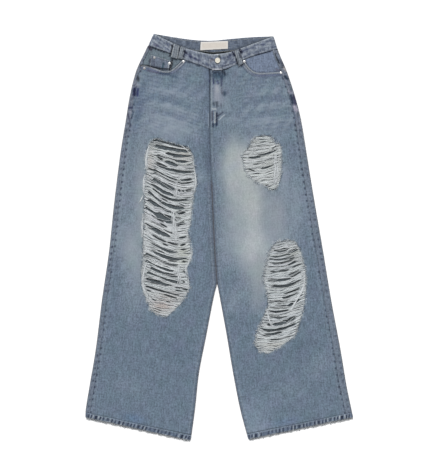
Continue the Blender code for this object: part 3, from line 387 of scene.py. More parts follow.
# The hidden side, guessed as such jeans wear: fades of the seat, thighs and heels, and creases, as above
BACK_FADES = (
    (-128, 130, 66, 150, 0, 0.7, "929daa"), (112, 130, 62, 150, 0, 0.7, "929daa"),
    (-60, 330, 60, 80, 0, 0.5, "8895a3"), (36, 330, 60, 80, 0, 0.5, "8895a3"),
    (-176, -70, 54, 90, 0, 0.4, "8895a4"), (150, -80, 54, 90, 0, 0.4, "8895a4"),
    (-214, -492, 100, 22, -13, 0.5, "a3acb4"), (214, -492, 100, 22, 12, 0.5, "a3acb4"),
    (-19, 240, 14, 200, 1, 0.6, "65727f"), (-15, 30, 12, 150, 2, 0.6, "65727f"),
)
BACK_CREASES = (
    (-205, 236, -40, 196, 8, 0.9), (-214, 206, -70, 172, 7, 0.6), (-210, 172, -90, 150, 9, 0.5),
    (180, 238, 10, 198, 8, 0.8), (196, 204, 44, 176, 7, 0.6), (190, 168, 70, 146, 9, 0.5),
    (-280, -20, -90, -50, 9, 0.8), (-286, -52, -110, -88, 8, 0.6), (-270, -96, -130, -112, 10, 0.5),
    (262, -24, 70, -46, 9, 0.8), (270, -60, 96, -84, 8, 0.6), (256, -100, 120, -110, 10, 0.5),
    (-300, -330, -160, -390, 14, 0.6), (290, -340, 150, -380, 14, 0.6),
)


# -------------------- curves and plane geometry

def curve_through(points, spacing, closed=False):
    """Catmull-Rom curve: each span is the cubic whose end slopes are half the chord of its neighbours; the
    whole is then cut into even steps of arc length."""
    p = np.array(points, float)
    if closed:
        ring = np.vstack([p[-1:], p, p[:2]])
    else:
        ring = np.vstack([2 * p[0] - p[1], p, 2 * p[-1] - p[-2]])
    t = np.linspace(0, 1, 16, endpoint=False)[:, None, None]
    a, b, c, d = ring[:-3], ring[1:-2], ring[2:-1], ring[3:]
    spans = 0.5 * (2 * b + (c - a) * t + (2 * a - 5 * b + 4 * c - d) * t**2 + (3 * b - a - 3 * c + d) * t**3)
    fine = np.vstack([np.swapaxes(spans, 0, 1).reshape(-1, p.shape[1]), p[:1] if closed else p[-1:]])
    even = even_steps(fine, spacing)
    return even[:-1] if closed else even


def arc_length(path):
    """Length of a polyline from its start to each of its points."""
    return np.concatenate([[0], np.cumsum(np.linalg.norm(np.diff(path, axis=0), axis=1))])


def even_steps(path, spacing):
    """A polyline read again at even steps of its arc length."""
    along = arc_length(path)
    marks = np.linspace(0, along[-1], max(1, round(along[-1] / spacing)) + 1)
    return np.column_stack([np.interp(marks, along, path[:, k]) for k in range(path.shape[1])])


def even_ring(corners, spacing):
    """A closed outline through its corners in straight even steps."""
    return even_steps(np.vstack([corners, corners[:1]]), spacing)[:-1]


def unit(vectors):
    """Vectors brought to length one."""
    return vectors / np.maximum(np.linalg.norm(vectors, axis=-1, keepdims=True), 1e-9)


def left_of(line, closed=False):
    """Unit directions to the left of a line in the plane, square to the chord between each point's
    neighbours."""
    chord = np.roll(line, -1, axis=0) - np.roll(line, 1, axis=0) if closed else np.gradient(line, axis=0)
    ahead = unit(chord)
    return np.column_stack([-ahead[:, 1], ahead[:, 0]])


def column_curve(table, column):
    """A table's column as a smooth function of its first column."""
    fine = curve_through(np.array(table, float)[:, [0, column]], 4)
    return lambda height: np.interp(height, fine[:, 0], fine[:, 1])


def smooth_step(value, start, end):
    """0 before start, 1 after end, and the cubic 3t^2 - 2t^3 between."""
    t = np.clip((value - start) / (end - start), 0, 1)
    return t * t * (3 - 2 * t)


def bell(value, middle, half, power=2):
    """A bell curve: 1 at its middle, 1/e half a width away, exp(-((value - middle) / half) ** power)."""
    return np.exp(-(((value - middle) / half) ** power))


def inside(points, loop):
    """Which points a closed loop holds, by the parity of crossings to the right."""
    x, y = points[:, 0][:, None], points[:, 1][:, None]
    a, b = loop, np.roll(loop, -1, axis=0)
    rise = np.where(b[:, 1] == a[:, 1], 1e-9, b[:, 1] - a[:, 1])
    crossing = (a[None, :, 1] > y) != (b[None, :, 1] > y)
    return np.sum(crossing & (x < (b[:, 0] - a[:, 0]) * (y - a[:, 1]) / rise + a[:, 0]), axis=1) % 2 == 1


def nearest_on(points, loop, closed=True):
    """Nearest place on a loop to each point, and how far it is."""
    a = loop if closed else loop[:-1]
    edge = (np.roll(loop, -1, axis=0) if closed else loop[1:])[: len(a)] - a
    rel = points[:, None] - a[None]
    t = np.clip(np.sum(rel * edge, axis=2) / np.sum(edge * edge, axis=1), 0, 1)
    spot = a[None] + edge[None] * t[..., None]
    gap = np.linalg.norm(points[:, None] - spot, axis=2)
    best = np.argmin(gap, axis=1)
    rows = np.arange(len(points))
    return spot[rows, best], gap[rows, best]


def distance(x, y, line, closed=True, near=None):
    """How far each point is from a line, worked out only where `near` holds and taken as 99 elsewhere."""
    flat = np.column_stack([x, y])
    if near is None:
        return nearest_on(flat, line, closed)[1]
    gap = np.full(len(x), 99.0)
    gap[near] = nearest_on(flat[near], line, closed)[1]
    return gap


MOUTH_EDGE = {side: curve_through(points, 3) for side, points in POCKET_MOUTH.items()}
FOOT_EDGE = curve_through(BAND_FRONT_FOOT, 3)
SIDE_X = {"right": column_curve(SIDES, 1), "left": column_curve(SIDES, 4)}
SEAM_INSET = {"right": column_curve(SIDES, 2), "left": column_curve(SIDES, 3)}
LEG_INNER_X = {"right": column_curve(INNER_SIDES, 1), "left": column_curve(INNER_SIDES, 2)}
CENTRE_X = column_curve(CENTRE_LINE, 1)
OUTWARD = {"right": -1, "left": 1}
ORIGIN_X = cad_low[0] / MM - SIDES[0][1]
ORIGIN_Y = cad_high[1] / MM - BAND_FRONT_TOP[0][1]


def inner_x(side, height, back=False):
    """x of a leg's inner edge; above the apex both legs share the centre line."""
    x = np.where(height < APEX, LEG_INNER_X[side](height), CENTRE_X(height))
    if back:
        waist = LEVELS[side][-1][1]
        x = x + (BACK_CENTRE_AT_WAIST - CENTRE_X(waist)) * smooth_step(height, CROTCH, waist)
    return x


def inner_height(side, outer_height):
    """Height at the inner edge of the row that starts at a height on the side."""
    levels = np.array(LEVELS[side])
    return np.interp(outer_height, levels[:, 0], levels[:, 1])


def row_frame(side, outer_height, back=False):
    """Each row's outer end, inner end, unit direction inwards and width."""
    inward = inner_height(side, outer_height)
    outer = np.column_stack([SIDE_X[side](outer_height), outer_height])
    inner = np.column_stack([inner_x(side, inward, back), inward])
    width = np.linalg.norm(inner - outer, axis=1)
    return outer, inner, (inner - outer) / width[:, None], width


def column_shares(width, fine=2, coarse=4, edge=26):
    """Shares across a panel: fine columns near both edges and coarser ones between."""
    near = np.arange(0, edge, fine)
    far = width - near[::-1]
    middle = np.linspace(near[-1], far[0], max(3, round((far[0] - near[-1]) / coarse)))[1:-1]
    return np.concatenate([near, middle, far]) / width


# -------------------- noise made of waves

def waves(x, y, scale, seed, octaves=3):
    """Smooth noise between about -1 and 1: a sum of turned sine pairs, each octave half as long and high."""
    local = np.random.default_rng(seed)
    total, weight = np.zeros(np.shape(x)), 0
    for octave in range(octaves):
        for _ in range(3):
            turn, shift = local.uniform(0, 2 * np.pi, 2)
            step = scale / 2**octave * local.uniform(0.8, 1.25)
            along = x * math.cos(turn) + y * math.sin(turn)
            across = -x * math.sin(turn) + y * math.cos(turn)
            pair = np.sin(along / step * 2 * np.pi + shift) * np.cos(across / step * 4.3 + turn)
            total = total + pair / 2**octave
        weight += 1.7 / 2**octave
    return total / weight


def rope(along, pitch, seed):
    """Roping of a seam: ridges of uneven pitch and strength along it, from -1 in a valley to 1 on a ridge."""
    phase = along / pitch * 2 * np.pi + 1.3 * waves(along, along * 0, pitch * 5.3, seed, 2)
    strength = 0.65 + 0.5 * waves(along, along * 0 + 3, pitch * 7.1, seed + 1, 2)
    return np.sin(phase) * np.clip(strength, 0.1, 1.2)


def torn_edge(points, seed):
    """A rip's edge, moved in and out by a millimetre or two as torn cloth is."""
    edge = curve_through(points, 2, closed=True)
    amount = 1.5 * waves(edge[:, 0], edge[:, 1], 17, seed, 3)
    return edge + left_of(edge, closed=True) * amount[:, None]


RIP_EDGE = {name: torn_edge(points, 17 + k) for k, (name, points) in enumerate(RIPS.items())}


# -------------------- heights of the cloth

def ground(y):
    """The seat rises on its pockets; the legs lie on the surface."""
    return SEAT_RISE * smooth_step(y, SEAT_RISE_START, SEAT_RISE_END)


def crease_height(x, y, creases=CREASES):
    """Soft ridges and troughs: a bell across each line, fading to its ends."""
    total = np.zeros(np.shape(x))
    for x0, y0, x1, y1, width, height in creases:
        length = math.hypot(x1 - x0, y1 - y0)
        along = ((x - x0) * (x1 - x0) + (y - y0) * (y1 - y0)) / length**2
        across = ((x - x0) * (y1 - y0) - (y - y0) * (x1 - x0)) / length
        across = across + 0.06 * length * np.sin(along * np.pi)
        fade = np.clip(4 * along * (1 - along), 0, 1)
        total = total + height * bell(across, 0, width) * fade
    return total


def front_top(side, x, y):
    """Top of a front panel: level with the turned-over back at the outseam, rolled down at the inseam, with
    slanting waves, creases, puckers beside the seams and a slight lip round each rip."""
    seated = SIDE_FOLD * 2 - 2 * CLOTH - LAYER_GAP
    reach = (x - inner_x(side, y)) * OUTWARD[side]
    seam = (SIDE_X[side](y) - x) * OUTWARD[side] - SEAM_INSET[side](y)
    roll = np.sqrt(np.clip(1 - (1 - np.clip(reach / INSEAM_ROUND, 0, 1)) ** 2, 0, 1))
    roll = np.maximum(roll, smooth_step(y, CROTCH - 20, CROTCH + 40))
    wave = RIPPLE * np.sin(y / 47 + x / 90) * np.sin(y / 131 - x / 60)
    wave = wave * (1 - smooth_step(y, CROTCH - 40, CROTCH + 40))
    clear = smooth_step(seam, 0, 60) * smooth_step(reach, 0, 60)
    folds = crease_height(x, y) * smooth_step(seam, 0, 25) + 0.22 * waves(x, y, 60, 5)
    outseam = 0.35 * rope(y, *OUTSEAM_ROPE) * bell(seam, 0, 9)
    inseam = 0.3 * rope(y, *INSEAM_ROPE) * bell(reach, 9, 6) * (y < CROTCH)
    fly = 0
    if side == "left":
        fly = FLY_RISE * (1 - smooth_step(reach, 30, 42)) * smooth_step(y, 285, 320)
        fly = fly + 0.45 * (1 - smooth_step(reach, 9, 12)) * smooth_step(y, CROTCH, CROTCH + 30)
    level = ground(y) + LEG_TOP - (seated - LAYER_GAP) * (1 - roll)
    return level + wave * clear + folds * roll + outseam + inseam + fly


# -------------------- colour

REFLECTED = 0.70            # the light is strong enough to turn the white table pure white


def linear(value):
    """sRGB, as a hex string or 0-1 numbers, to linear light, as reflected under the studio's strong light."""
    if isinstance(value, str):
        value = [int(value[k:k + 2], 16) / 255 for k in (0, 2, 4)]
    value = np.clip(np.asarray(value, float), 0, 1)
    return np.where(value <= 0.04045, value / 12.92, ((value + 0.055) / 1.055) ** 2.4) * REFLECTED


def srgb(text):
    """Hex string to sRGB numbers from 0 to 1."""
    return np.array([int(text[k:k + 2], 16) / 255 for k in (0, 2, 4)])


def toned(colour, tint, share):
    """Colour moved a share of the way to a tint."""
    return colour + (srgb(tint) - colour) * np.clip(share, 0, 1)[..., None]


def layered(colour, *layers):
    """Tints laid over a colour in turn, each with its share."""
    for tint, share in layers:
        colour = toned(colour, tint, share)
    return colour


PAINTED_SHADE = "1e2430"            # painted shade: cloth darkened where it lies in shadow
# Outlines of what lies on the cloth: its line, whether that closes, the reach and the strength of the painted
# shadow
LOOP_SHADOWS = [(np.array(corners, float), True, 2.2, 0.45) for corners in FRONT_LOOPS.values()]
CONTACT_SHADOWS = [(even_steps(FOOT_EDGE, 3), False, 1.6, 0.3), *LOOP_SHADOWS]


def contact_shadow(x, y, outlines=CONTACT_SHADOWS):
    """How dark the painted shadow is close beside what lies on the cloth: the waistband's foot and the belt
    loops.  A bell of the distance to each outline."""
    dark = np.zeros(len(x))
    for line, closed, reach, strength in outlines:
        dark = np.maximum(dark, strength * bell(distance(x, y, line, closed, near=y > 430), 0, reach))
    return dark


def brushed_and_shaded(colour, x, y):
    """Brushed marks of wear and painted shadow laid over a colour: each is strongest along its line and falls
    away as a flat-topped bell of the distance to it, slightly broken along the cloth's grain."""
    for x0, y0, x1, y1, half, strength, tint in MARKS_AND_SHADOWS:
        reach = 3 * half
        near = np.where((x > min(x0, x1) - reach) & (x < max(x0, x1) + reach)
                        & (y > min(y0, y1) - reach) & (y < max(y0, y1) + reach))[0]
        if len(near):
            px, py = x[near] - x0, y[near] - y0
            length = max((x1 - x0) ** 2 + (y1 - y0) ** 2, 1e-6)
            t = np.clip((px * (x1 - x0) + py * (y1 - y0)) / length, 0, 1)
            broken = 1 + 0.25 * waves(x[near], y[near], 7, 27, 2)
            gap = np.hypot(px - t * (x1 - x0), py - t * (y1 - y0)) * broken
            colour[near] = toned(colour[near], tint, strength * bell(gap, 0, half, 3))
    return colour


def denim_wash(x, y, fades=FADES, creases=CREASES, whiskers=0.6):
    """Wash in sRGB: one mid blue, lighter or darker by oval fades, each a bell of its own reach, rubbed pale
    on its creases, with whiskers that slope down over the hips to the fly, and a slow mottle."""
    colour = np.broadcast_to(srgb("6b7b8c"), np.shape(x) + (3,)).copy()
    colour = toned(colour, "70808f", smooth_step(y, 150, 420))
    for fx, fy, across, along, turn, strength, tint in fades:
        c, s = math.cos(math.radians(turn)), math.sin(math.radians(turn))
        a = ((x - fx) * c + (y - fy) * s) / across
        b = (-(x - fx) * s + (y - fy) * c) / along
        colour = toned(colour, tint, strength * np.exp(-(a * a + b * b) ** 1.2))
    hips = smooth_step(y, 255, 300) * smooth_step(np.abs(x - 2), 25, 60)
    lean = np.where(x < 0, 0.45 - 0.2 * smooth_step(y, 270, 400), -0.09)
    streaks = waves(x * 0.35 + y * 0.05, y + lean * x, 13, 28, 2) * hips
    rubbed = crease_height(x, y, creases) + whiskers * streaks
    colour = toned(colour, "9aa6b2", 0.75 * np.clip(rubbed, 0, 0.8))
    colour = toned(colour, "52617a", 0.55 * np.clip(-rubbed, 0, 0.8))
    mottle = 0.013 * waves(x, y, 34, 21) + 0.012 * waves(x, y, 11, 22)
    hue = 0.010 * waves(x, y, 70, 24)
    return colour + mottle[..., None] + hue[..., None] * np.array([1, -0.4, 0.7])


# -------------------- mesh building

def place(points):
    """Millimetres from the cut's zero to metres in the frame."""
    return (np.asarray(points, float) + np.array([ORIGIN_X, ORIGIN_Y, 0])) * MM


def put(name, data):
    """A new object in the scene."""
    holder = bpy.data.objects.new(name, data)
    bpy.context.scene.collection.objects.link(holder)
    return holder


def grid_faces(rows, columns, wrap_rows=False, wrap_columns=False):
    """Quads of a grid whose points run along columns first."""
    i = np.arange(rows if wrap_rows else rows - 1)
    j = np.arange(columns if wrap_columns else columns - 1)
    i, j = np.meshgrid(i, j, indexing="ij")
    ni, nj = (i + 1) % rows, (j + 1) % columns
    quads = np.stack([i * columns + j, i * columns + nj, ni * columns + nj, ni * columns + j], axis=-1)
    return quads.reshape(-1, 4)


def make_piece(name, points, faces, material, colour=None, uv=None, caps=(), grain=1, node=None):
    """A mesh object from arrays, with its wash as a colour attribute, how much grain shows in the attribute's
    alpha, and the grain's own map as a UV map.  It takes its material's slot and may stand for a CAD node."""
    mesh = bpy.data.meshes.new(name)
    polygons = faces.tolist() + [list(cap) for cap in caps]
    mesh.from_pydata(place(points).tolist(), [], polygons)
    mesh.validate()
    mesh.shade_smooth()
    mesh.materials.append(material)
    if colour is not None:
        rgba = np.ones((len(points), 4))
        rgba[:, :3], rgba[:, 3] = linear(colour), grain
        wash = mesh.attributes.new("Wash", "FLOAT_COLOR", "POINT")
        wash.data.foreach_set("color", rgba.astype(np.float32).ravel())
    if uv is not None:
        corner = np.zeros(len(mesh.loops), np.int32)
        mesh.loops.foreach_get("vertex_index", corner)
        layer = mesh.uv_layers.new(name="Grain")
        layer.data.foreach_set("uv", (np.asarray(uv)[corner] * MM).astype(np.float32).ravel())
    piece = put(name, mesh)
    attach(piece, "root")
    if node:
        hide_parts(node)
    return piece


def thicken(piece, wall, lining=None):
    """A wall grown inwards from the outer face; its inner face may have a material of its own."""
    solid = piece.modifiers.new("Wall", "SOLIDIFY")
    solid.thickness = wall * MM
    solid.offset = -1
    if lining is not None:
        piece.data.materials.append(lining)
        solid.material_offset = 1


def trimmed(flat, faces, cutters):
    """A grid cut back to loops: faces whose middle lies in a cutter go, and the new edge's points slide on to
    the cutter's line."""
    middles = flat[faces].mean(axis=1)
    gone = np.zeros(len(faces), bool)
    owner = np.zeros(len(faces), int)
    for index, cutter in enumerate(cutters):
        low, high = cutter.min(axis=0) - 1, cutter.max(axis=0) + 1
        near = np.all((middles > low) & (middles < high), axis=1)
        hit = np.zeros(len(faces), bool)
        hit[near] = inside(middles[near], cutter)
        gone |= hit
        owner[hit] = index + 1
    kept = faces[~gone]
    touched = np.zeros(len(flat), int)
    for index in range(len(cutters)):
        touched[np.unique(faces[owner == index + 1])] = index + 1
    alive = np.zeros(len(flat), bool)
    alive[np.unique(kept)] = True
    for index, cutter in enumerate(cutters):
        border = np.where(alive & (touched == index + 1))[0]
        if len(border):
            spot, gap = nearest_on(flat[border], cutter)
            close = gap < SLIDE_REACH
            flat[border[close]] = spot[close]
    number = np.cumsum(alive) - 1
    return flat[alive], number[kept]


def tubes(paths, radius, sides, taper):
    """Round threads along many paths at once: a ring of points about each path point, square to the path,
    thinner at both ends.  Returns points, faces and end caps."""
    count, steps = paths.shape[:2]
    ahead = unit(np.gradient(paths, axis=1))
    up = np.zeros_like(ahead)
    up[..., 2] = 1
    level = np.abs(ahead[..., 2]) > 0.9
    up[level] = (0, 1, 0)
    across = unit(np.cross(ahead, up))
    over = np.cross(across, ahead)
    size = np.broadcast_to(np.asarray(radius, float).reshape(-1, 1), (count, steps)).copy()
    size[:, 0] *= taper
    size[:, -1] *= taper
    angle = np.linspace(0, 2 * np.pi, sides, endpoint=False)
    ring = (across[:, :, None] * np.cos(angle)[None, None, :, None]
            + over[:, :, None] * np.sin(angle)[None, None, :, None])
    points = (paths[:, :, None] + ring * size[:, :, None, None]).reshape(-1, 3)
    one = grid_faces(steps, sides, wrap_columns=True)
    starts = np.arange(count)[:, None, None] * steps * sides
    faces = (one[None] + starts).reshape(-1, 4)
    first = np.arange(sides)[::-1][None] + starts[:, 0]
    last = (steps - 1) * sides + np.arange(sides)[None] + starts[:, 0]
    return points, faces, np.vstack([first, last]).tolist()


def turned_grid(profile, centre, base, steps):
    """A turned piece: each profile point, a radius and a height, carried round its upright axis."""
    angle = np.linspace(0, 2 * np.pi, steps, endpoint=False)
    profile = np.array(profile, float)
    x = centre[0] + profile[:, :1] * np.cos(angle)
    y = centre[1] + profile[:, :1] * np.sin(angle)
    z = np.broadcast_to(base + profile[:, 1:], x.shape)
    points = np.stack([x, y, z], axis=-1).reshape(-1, 3)
    caps = [list(range(steps))[::-1], list(range((len(profile) - 1) * steps, len(profile) * steps))]
    return points, grid_faces(len(profile), steps, wrap_columns=True), caps


# -------------------- materials

def add(tree, kind, inputs=None, **settings):
    """One node with its settings, and its inputs set to values or linked to other sockets."""
    node = tree.nodes.new(kind)
    for key, value in settings.items():
        setattr(node, key, value)
    for key, value in (inputs or {}).items():
        if isinstance(value, bpy.types.NodeSocket):
            tree.links.new(value, node.inputs[key])
        else:
            node.inputs[key].default_value = value
    return node


def new_material(name, finish):
    """A node material with its shader, whose finish is set on its own sockets, and its output."""
    material = bpy.data.materials.new(name)
    material.use_nodes = True
    tree = material.node_tree
    tree.nodes.clear()
    shader = add(tree, "ShaderNodeBsdfPrincipled", finish)
    add(tree, "ShaderNodeOutputMaterial", {"Surface": shader.outputs[0]})
    return material, tree, shader


# Noise in the cloth's grain: across, along, detail, weight.  Yarns are 0.5 mm wide; their slubs and flecks
# are drawn 3 to 5 mm wide so that they show, with streaks across the warp and a cloudy wash over them.
GRAIN_LAYERS = ((3.4, 22, 2, 0.30), (3.6, 4.8, 2, 0.42), (14, 3.2, 2, 0.16), (16, 24, 3, 0.14))
RIB_PITCH = 2.4             # twill ribs are 0.8 mm apart; drawn three times as coarse so that they show
RIB_WEIGHT = 0.08
TWILL_TURN = math.radians(28)
RUBBED_PATCH = 1.8          # patches of worn plate on the button and rivets


def denim_material(name, tint=None):
    """Twill: ribs of a turned wave and layers of noise add up to one relief, which swings the wash's tone to
    either side, as far as its grain shows, and bumps the surface."""
    material, tree, shader = new_material(name, {"Roughness": 0.92, "Specular IOR Level": 0.18,
                                                 "Sheen Weight": 0.08, "Sheen Roughness": 0.6})
    grain = add(tree, "ShaderNodeUVMap", uv_map="Grain").outputs[0]
    wash = add(tree, "ShaderNodeAttribute", attribute_name="Wash").outputs
    base, show = (linear(tint), 1) if tint else (wash["Color"], wash["Alpha"])
    relief = 0
    for across, along, detail, weight in GRAIN_LAYERS:
        scaled = add(tree, "ShaderNodeMapping", {"Vector": grain,
                                                 "Scale": (1 / (across * MM), 1 / (along * MM), 1)})
        cells = add(tree, "ShaderNodeTexNoise", {"Vector": scaled.outputs[0], "Scale": 1, "Detail": detail})
        relief = add(tree, "ShaderNodeMath", {0: cells.outputs[0], 1: weight, 2: relief},
                     operation="MULTIPLY_ADD").outputs[0]
    turned = add(tree, "ShaderNodeMapping", {"Vector": grain, "Rotation": (0, 0, TWILL_TURN),
                                             "Scale": (1 / (RIB_PITCH * MM), 1 / (RIB_PITCH * MM), 1)})
    ribs = add(tree, "ShaderNodeTexWave", {"Vector": turned.outputs[0], "Scale": 0.31, "Distortion": 1.6,
                                           "Detail": 2, "Detail Scale": 1.4}, bands_direction="X")
    relief = add(tree, "ShaderNodeMath", {0: ribs.outputs[1], 1: RIB_WEIGHT, 2: relief},
                 operation="MULTIPLY_ADD").outputs[0]
    swing = add(tree, "ShaderNodeMapRange", {"Value": relief, "From Min": 0.42, "From Max": 0.68,
                                             "To Min": -0.40, "To Max": 0.40}).outputs[0]
    gain = add(tree, "ShaderNodeMath", {0: swing, 1: show, 2: 1}, operation="MULTIPLY_ADD").outputs[0]
    lit = add(tree, "ShaderNodeVectorMath", {0: base, "Scale": gain}, operation="SCALE").outputs[0]
    tree.links.new(lit, shader.inputs["Base Color"])
    bump = add(tree, "ShaderNodeBump", {"Height": relief, "Strength": 0.5, "Distance": 0.9 * MM})
    tree.links.new(bump.outputs[0], shader.inputs["Normal"])
    return material


def cotton_material(name, cell, strength):
    """Cotton yarn or tape: matt and slightly fuzzy, its twist and slubs seen as small light and dark
    cells."""
    material, tree, shader = new_material(name, {"Roughness": 0.9, "Specular IOR Level": 0.2,
                                                 "Sheen Weight": 0.15})
    where = add(tree, "ShaderNodeTexCoord").outputs["Object"]
    wash = add(tree, "ShaderNodeAttribute", attribute_name="Wash").outputs["Color"]
    cells = add(tree, "ShaderNodeTexNoise", {"Vector": where, "Scale": 1 / (cell * MM),
                                             "Detail": 2}).outputs[0]
    gain = add(tree, "ShaderNodeMapRange", {"Value": cells, "From Min": 0.3, "From Max": 0.7,
                                            "To Min": 1 - strength, "To Max": 1 + strength}).outputs[0]
    lit = add(tree, "ShaderNodeVectorMath", {0: wash, "Scale": gain}, operation="SCALE").outputs[0]
    tree.links.new(lit, shader.inputs["Base Color"])
    bump = add(tree, "ShaderNodeBump", {"Height": cells, "Strength": 0.4, "Distance": 0.3 * MM})
    tree.links.new(bump.outputs[0], shader.inputs["Normal"])
    return material


def plate_material(name, tint, wear, roughness, metallic):
    """Small hardware's plate or enamel: one tone that fine rubbed patches turn to another."""
    material, tree, shader = new_material(name, {"Roughness": roughness, "Metallic": metallic})
    where = add(tree, "ShaderNodeTexCoord").outputs["Object"]
    patches = add(tree, "ShaderNodeTexNoise", {"Vector": where, "Scale": 1 / (RUBBED_PATCH * MM),
                                               "Detail": 4}).outputs[0]
    colours = add(tree, "ShaderNodeMix", {0: patches, 6: (*linear(tint), 1), 7: (*linear(wear), 1)},
                  data_type="RGBA")
    tree.links.new(colours.outputs[2], shader.inputs["Base Color"])
    bump = add(tree, "ShaderNodeBump", {"Height": patches, "Strength": 0.25, "Distance": 0.2 * MM})
    tree.links.new(bump.outputs[0], shader.inputs["Normal"])
    return material


# Cotton denim, an indigo warp woven over an undyed weft, stone-washed: matt blue-grey in steep diagonal ribs,
# with pale slubs along the warp
DENIM = denim_material("washed_indigo_twill")
# The same denim's wrong side, where the weft floats: the same weave in an even dull grey, painted darker than
# its own pale tone to stand for the shade inside the legs
SHADED_WRONG_SIDE = denim_material("twill_wrong_side_in_shade", tint="565e63")
# Undyed cotton weft yarn, spun and then pulled bare: off-white, fuzzy, uneven from slub to slub
THREAD = cotton_material("loose_cotton_weft", 0.8, 0.12)
# Twisted cotton sewing thread: finer and more even, a row of matt dashes
SEWING = cotton_material("sewing_thread", 0.5, 0.1)
# Woven cotton tape, cut and sewn down: cream and nearly smooth
LABEL = cotton_material("woven_label_cotton", 0.8, 0.06)
# Enamel baked on die-cast zinc: cream and softly glossy, barely metallic
BUTTON_PLATE = plate_material("cream_enamel_on_zinc", "f3efe2", "e0dac9", 0.45, 0.15)
# Nickel plated on pressed copper, tumbled dull: near white with a wide soft glint
RIVET_PLATE = plate_material("dull_nickel_on_copper", "f4f4f2", "ffffff", 0.34, 0.75)
# The same plate worn by the wash: greyer and rougher
WORN_RIVET = plate_material("worn_nickel_on_copper", "a9a9ac", "c3c2c2", 0.5, 0.6)


# -------------------- panels

def leg_uv(side, flat):
    """Grain of a leg: x and y turned so that the warp runs down the leg's middle."""
    turn = math.radians(5) * OUTWARD[side]
    c, s = math.cos(turn), math.sin(turn)
    return np.column_stack([flat[:, 0] * c + flat[:, 1] * s, -flat[:, 0] * s + flat[:, 1] * c])


def band_foot_line(start_x, end_x):
    """Lower edge of the front waistband between two places."""
    xs = np.linspace(start_x, end_x, max(2, round(abs(end_x - start_x) / 3)))
    return np.column_stack([xs, np.interp(xs, *FOOT_EDGE.T) - 0.4])


def top_cut(side):
    """Loop over everything above a front panel: the band's foot, the pocket mouth and far outside."""
    mouth, out = MOUTH_EDGE[side], OUTWARD[side]
    band = band_foot_line(FLY_EDGE - out * 12, mouth[0][0])
    ends = np.array([(mouth[-1][0] + out * 20, mouth[-1][1] + 1), (mouth[-1][0] + out * 20, 640),
                     (FLY_EDGE - out * 12, 640)])
    return np.vstack([band, mouth, ends])


def front_wash(side, x, y, gaps):
    """Wash of a front panel: beside each rip, whose distance is in gaps, a thin painted shadow at its rim,
    frayed pale patches and painted shade between them; then what its seams and its pocket mouth leave, the
    painted shadow beside the pieces on it, and the marks of wear and painted shadow."""
    colour = denim_wash(x, y)
    patch = waves(x, y, 30, 31)
    for gap in gaps:
        colour = layered(
            colour,
            # painted shadow at the rip's rim, then frayed pale patches with painted shade between them
            ("4d5863", 0.35 * bell(gap, 0, 1.4)),
            ("c9d1d0", 0.85 * np.exp(-gap / 3.2) * np.clip(patch + 0.25, 0, 1)),
            ("3f4a56", 0.9 * bell(gap, 0, 3.6) * np.clip(0.15 - patch, 0, 0.7)))
    colour = shade_mouth(side, x, y, shade_seams(side, x, y, colour))
    # painted shadow beside the waistband's foot and the belt loops
    return brushed_and_shaded(toned(colour, PAINTED_SHADE, contact_shadow(x, y)), x, y)


def make_front(side):
    """Front panel: rows across the leg from the outseam to the inner edge, trimmed at the waistband and the
    pocket mouth and cut through at the rips, each point raised to the cloth's height."""
    heights = np.arange(LEVELS[side][0][0] + HEM_DEPTH - 1, LEVELS[side][-1][0] - 2, 2.6)
    outer, inner, along, _ = row_frame(side, heights)
    seam = outer + along * (SEAM_INSET[side](heights) + LAYER_GAP)[:, None]
    shares = column_shares(255)
    flat = seam[:, None] + (inner - seam)[:, None] * shares[None, :, None]
    rows, columns = flat.shape[:2]
    flat = flat.reshape(-1, 2)
    rips = [RIP_EDGE[name] for name in RIPS if RIP_LEG[name] == side]
    flat, faces = trimmed(flat, grid_faces(rows, columns), [top_cut(side)] + rips)
    x, y = flat[:, 0], flat[:, 1]
    gaps = [distance(x, y, edge) for edge in rips]
    z = front_top(side, x, y)
    for gap in gaps:
        z = z + 0.5 * np.exp(-gap / 2.5)
    colour = front_wash(side, x, y, gaps)
    points = np.column_stack([x, y, z])
    if side == "left":
        faces = faces[:, ::-1]
    hips = smooth_step(y, 240, 320) * smooth_step((x - inner_x(side, y)) * OUTWARD[side], 20, 45)
    pale = smooth_step(colour.mean(axis=1), 0.51, 0.61)
    piece = make_piece("front_panel_" + side, points, faces, DENIM, colour, leg_uv(side, flat),
                       grain=(1 - 0.2 * hips) * (1 - 0.65 * pale), node="front_" + side)
    thicken(piece, CLOTH, SHADED_WRONG_SIDE)


def shade_mouth(side, x, y, colour):
    """Below a pocket mouth: a rubbed pale edge, then a darker band as far as the second sewn line, and by the
    front rivet dark and pale ridges in turn."""
    gap = distance(x, y, MOUTH_EDGE[side], closed=False, near=y > 400)
    colour = toned(colour, "5c6480", 0.62 * smooth_step(gap, 1.5, 3.5) * (1 - smooth_step(gap, 8.5, 12)))
    colour = toned(colour, "39415a", 0.6 * bell(gap, 9.6, 1.5) * (0.5 + 0.5 * rope(x, 8, 33)))
    by_rivet = bell(x, RIVETS["rivet_" + side + "_front"][0], 24)
    return layered(
        colour,
        ("262d42", 0.95 * by_rivet * bell(gap, 4, 1.7)),
        ("3a455c", 0.75 * by_rivet * bell(gap, 9.8, 1.9)),
        ("bcc3c8", 0.85 * by_rivet * bell(gap, 6.9, 1.6)),
        ("b8c0c5", (0.66 + 0.2 * by_rivet) * bell(gap, 0.5, 1.7)))


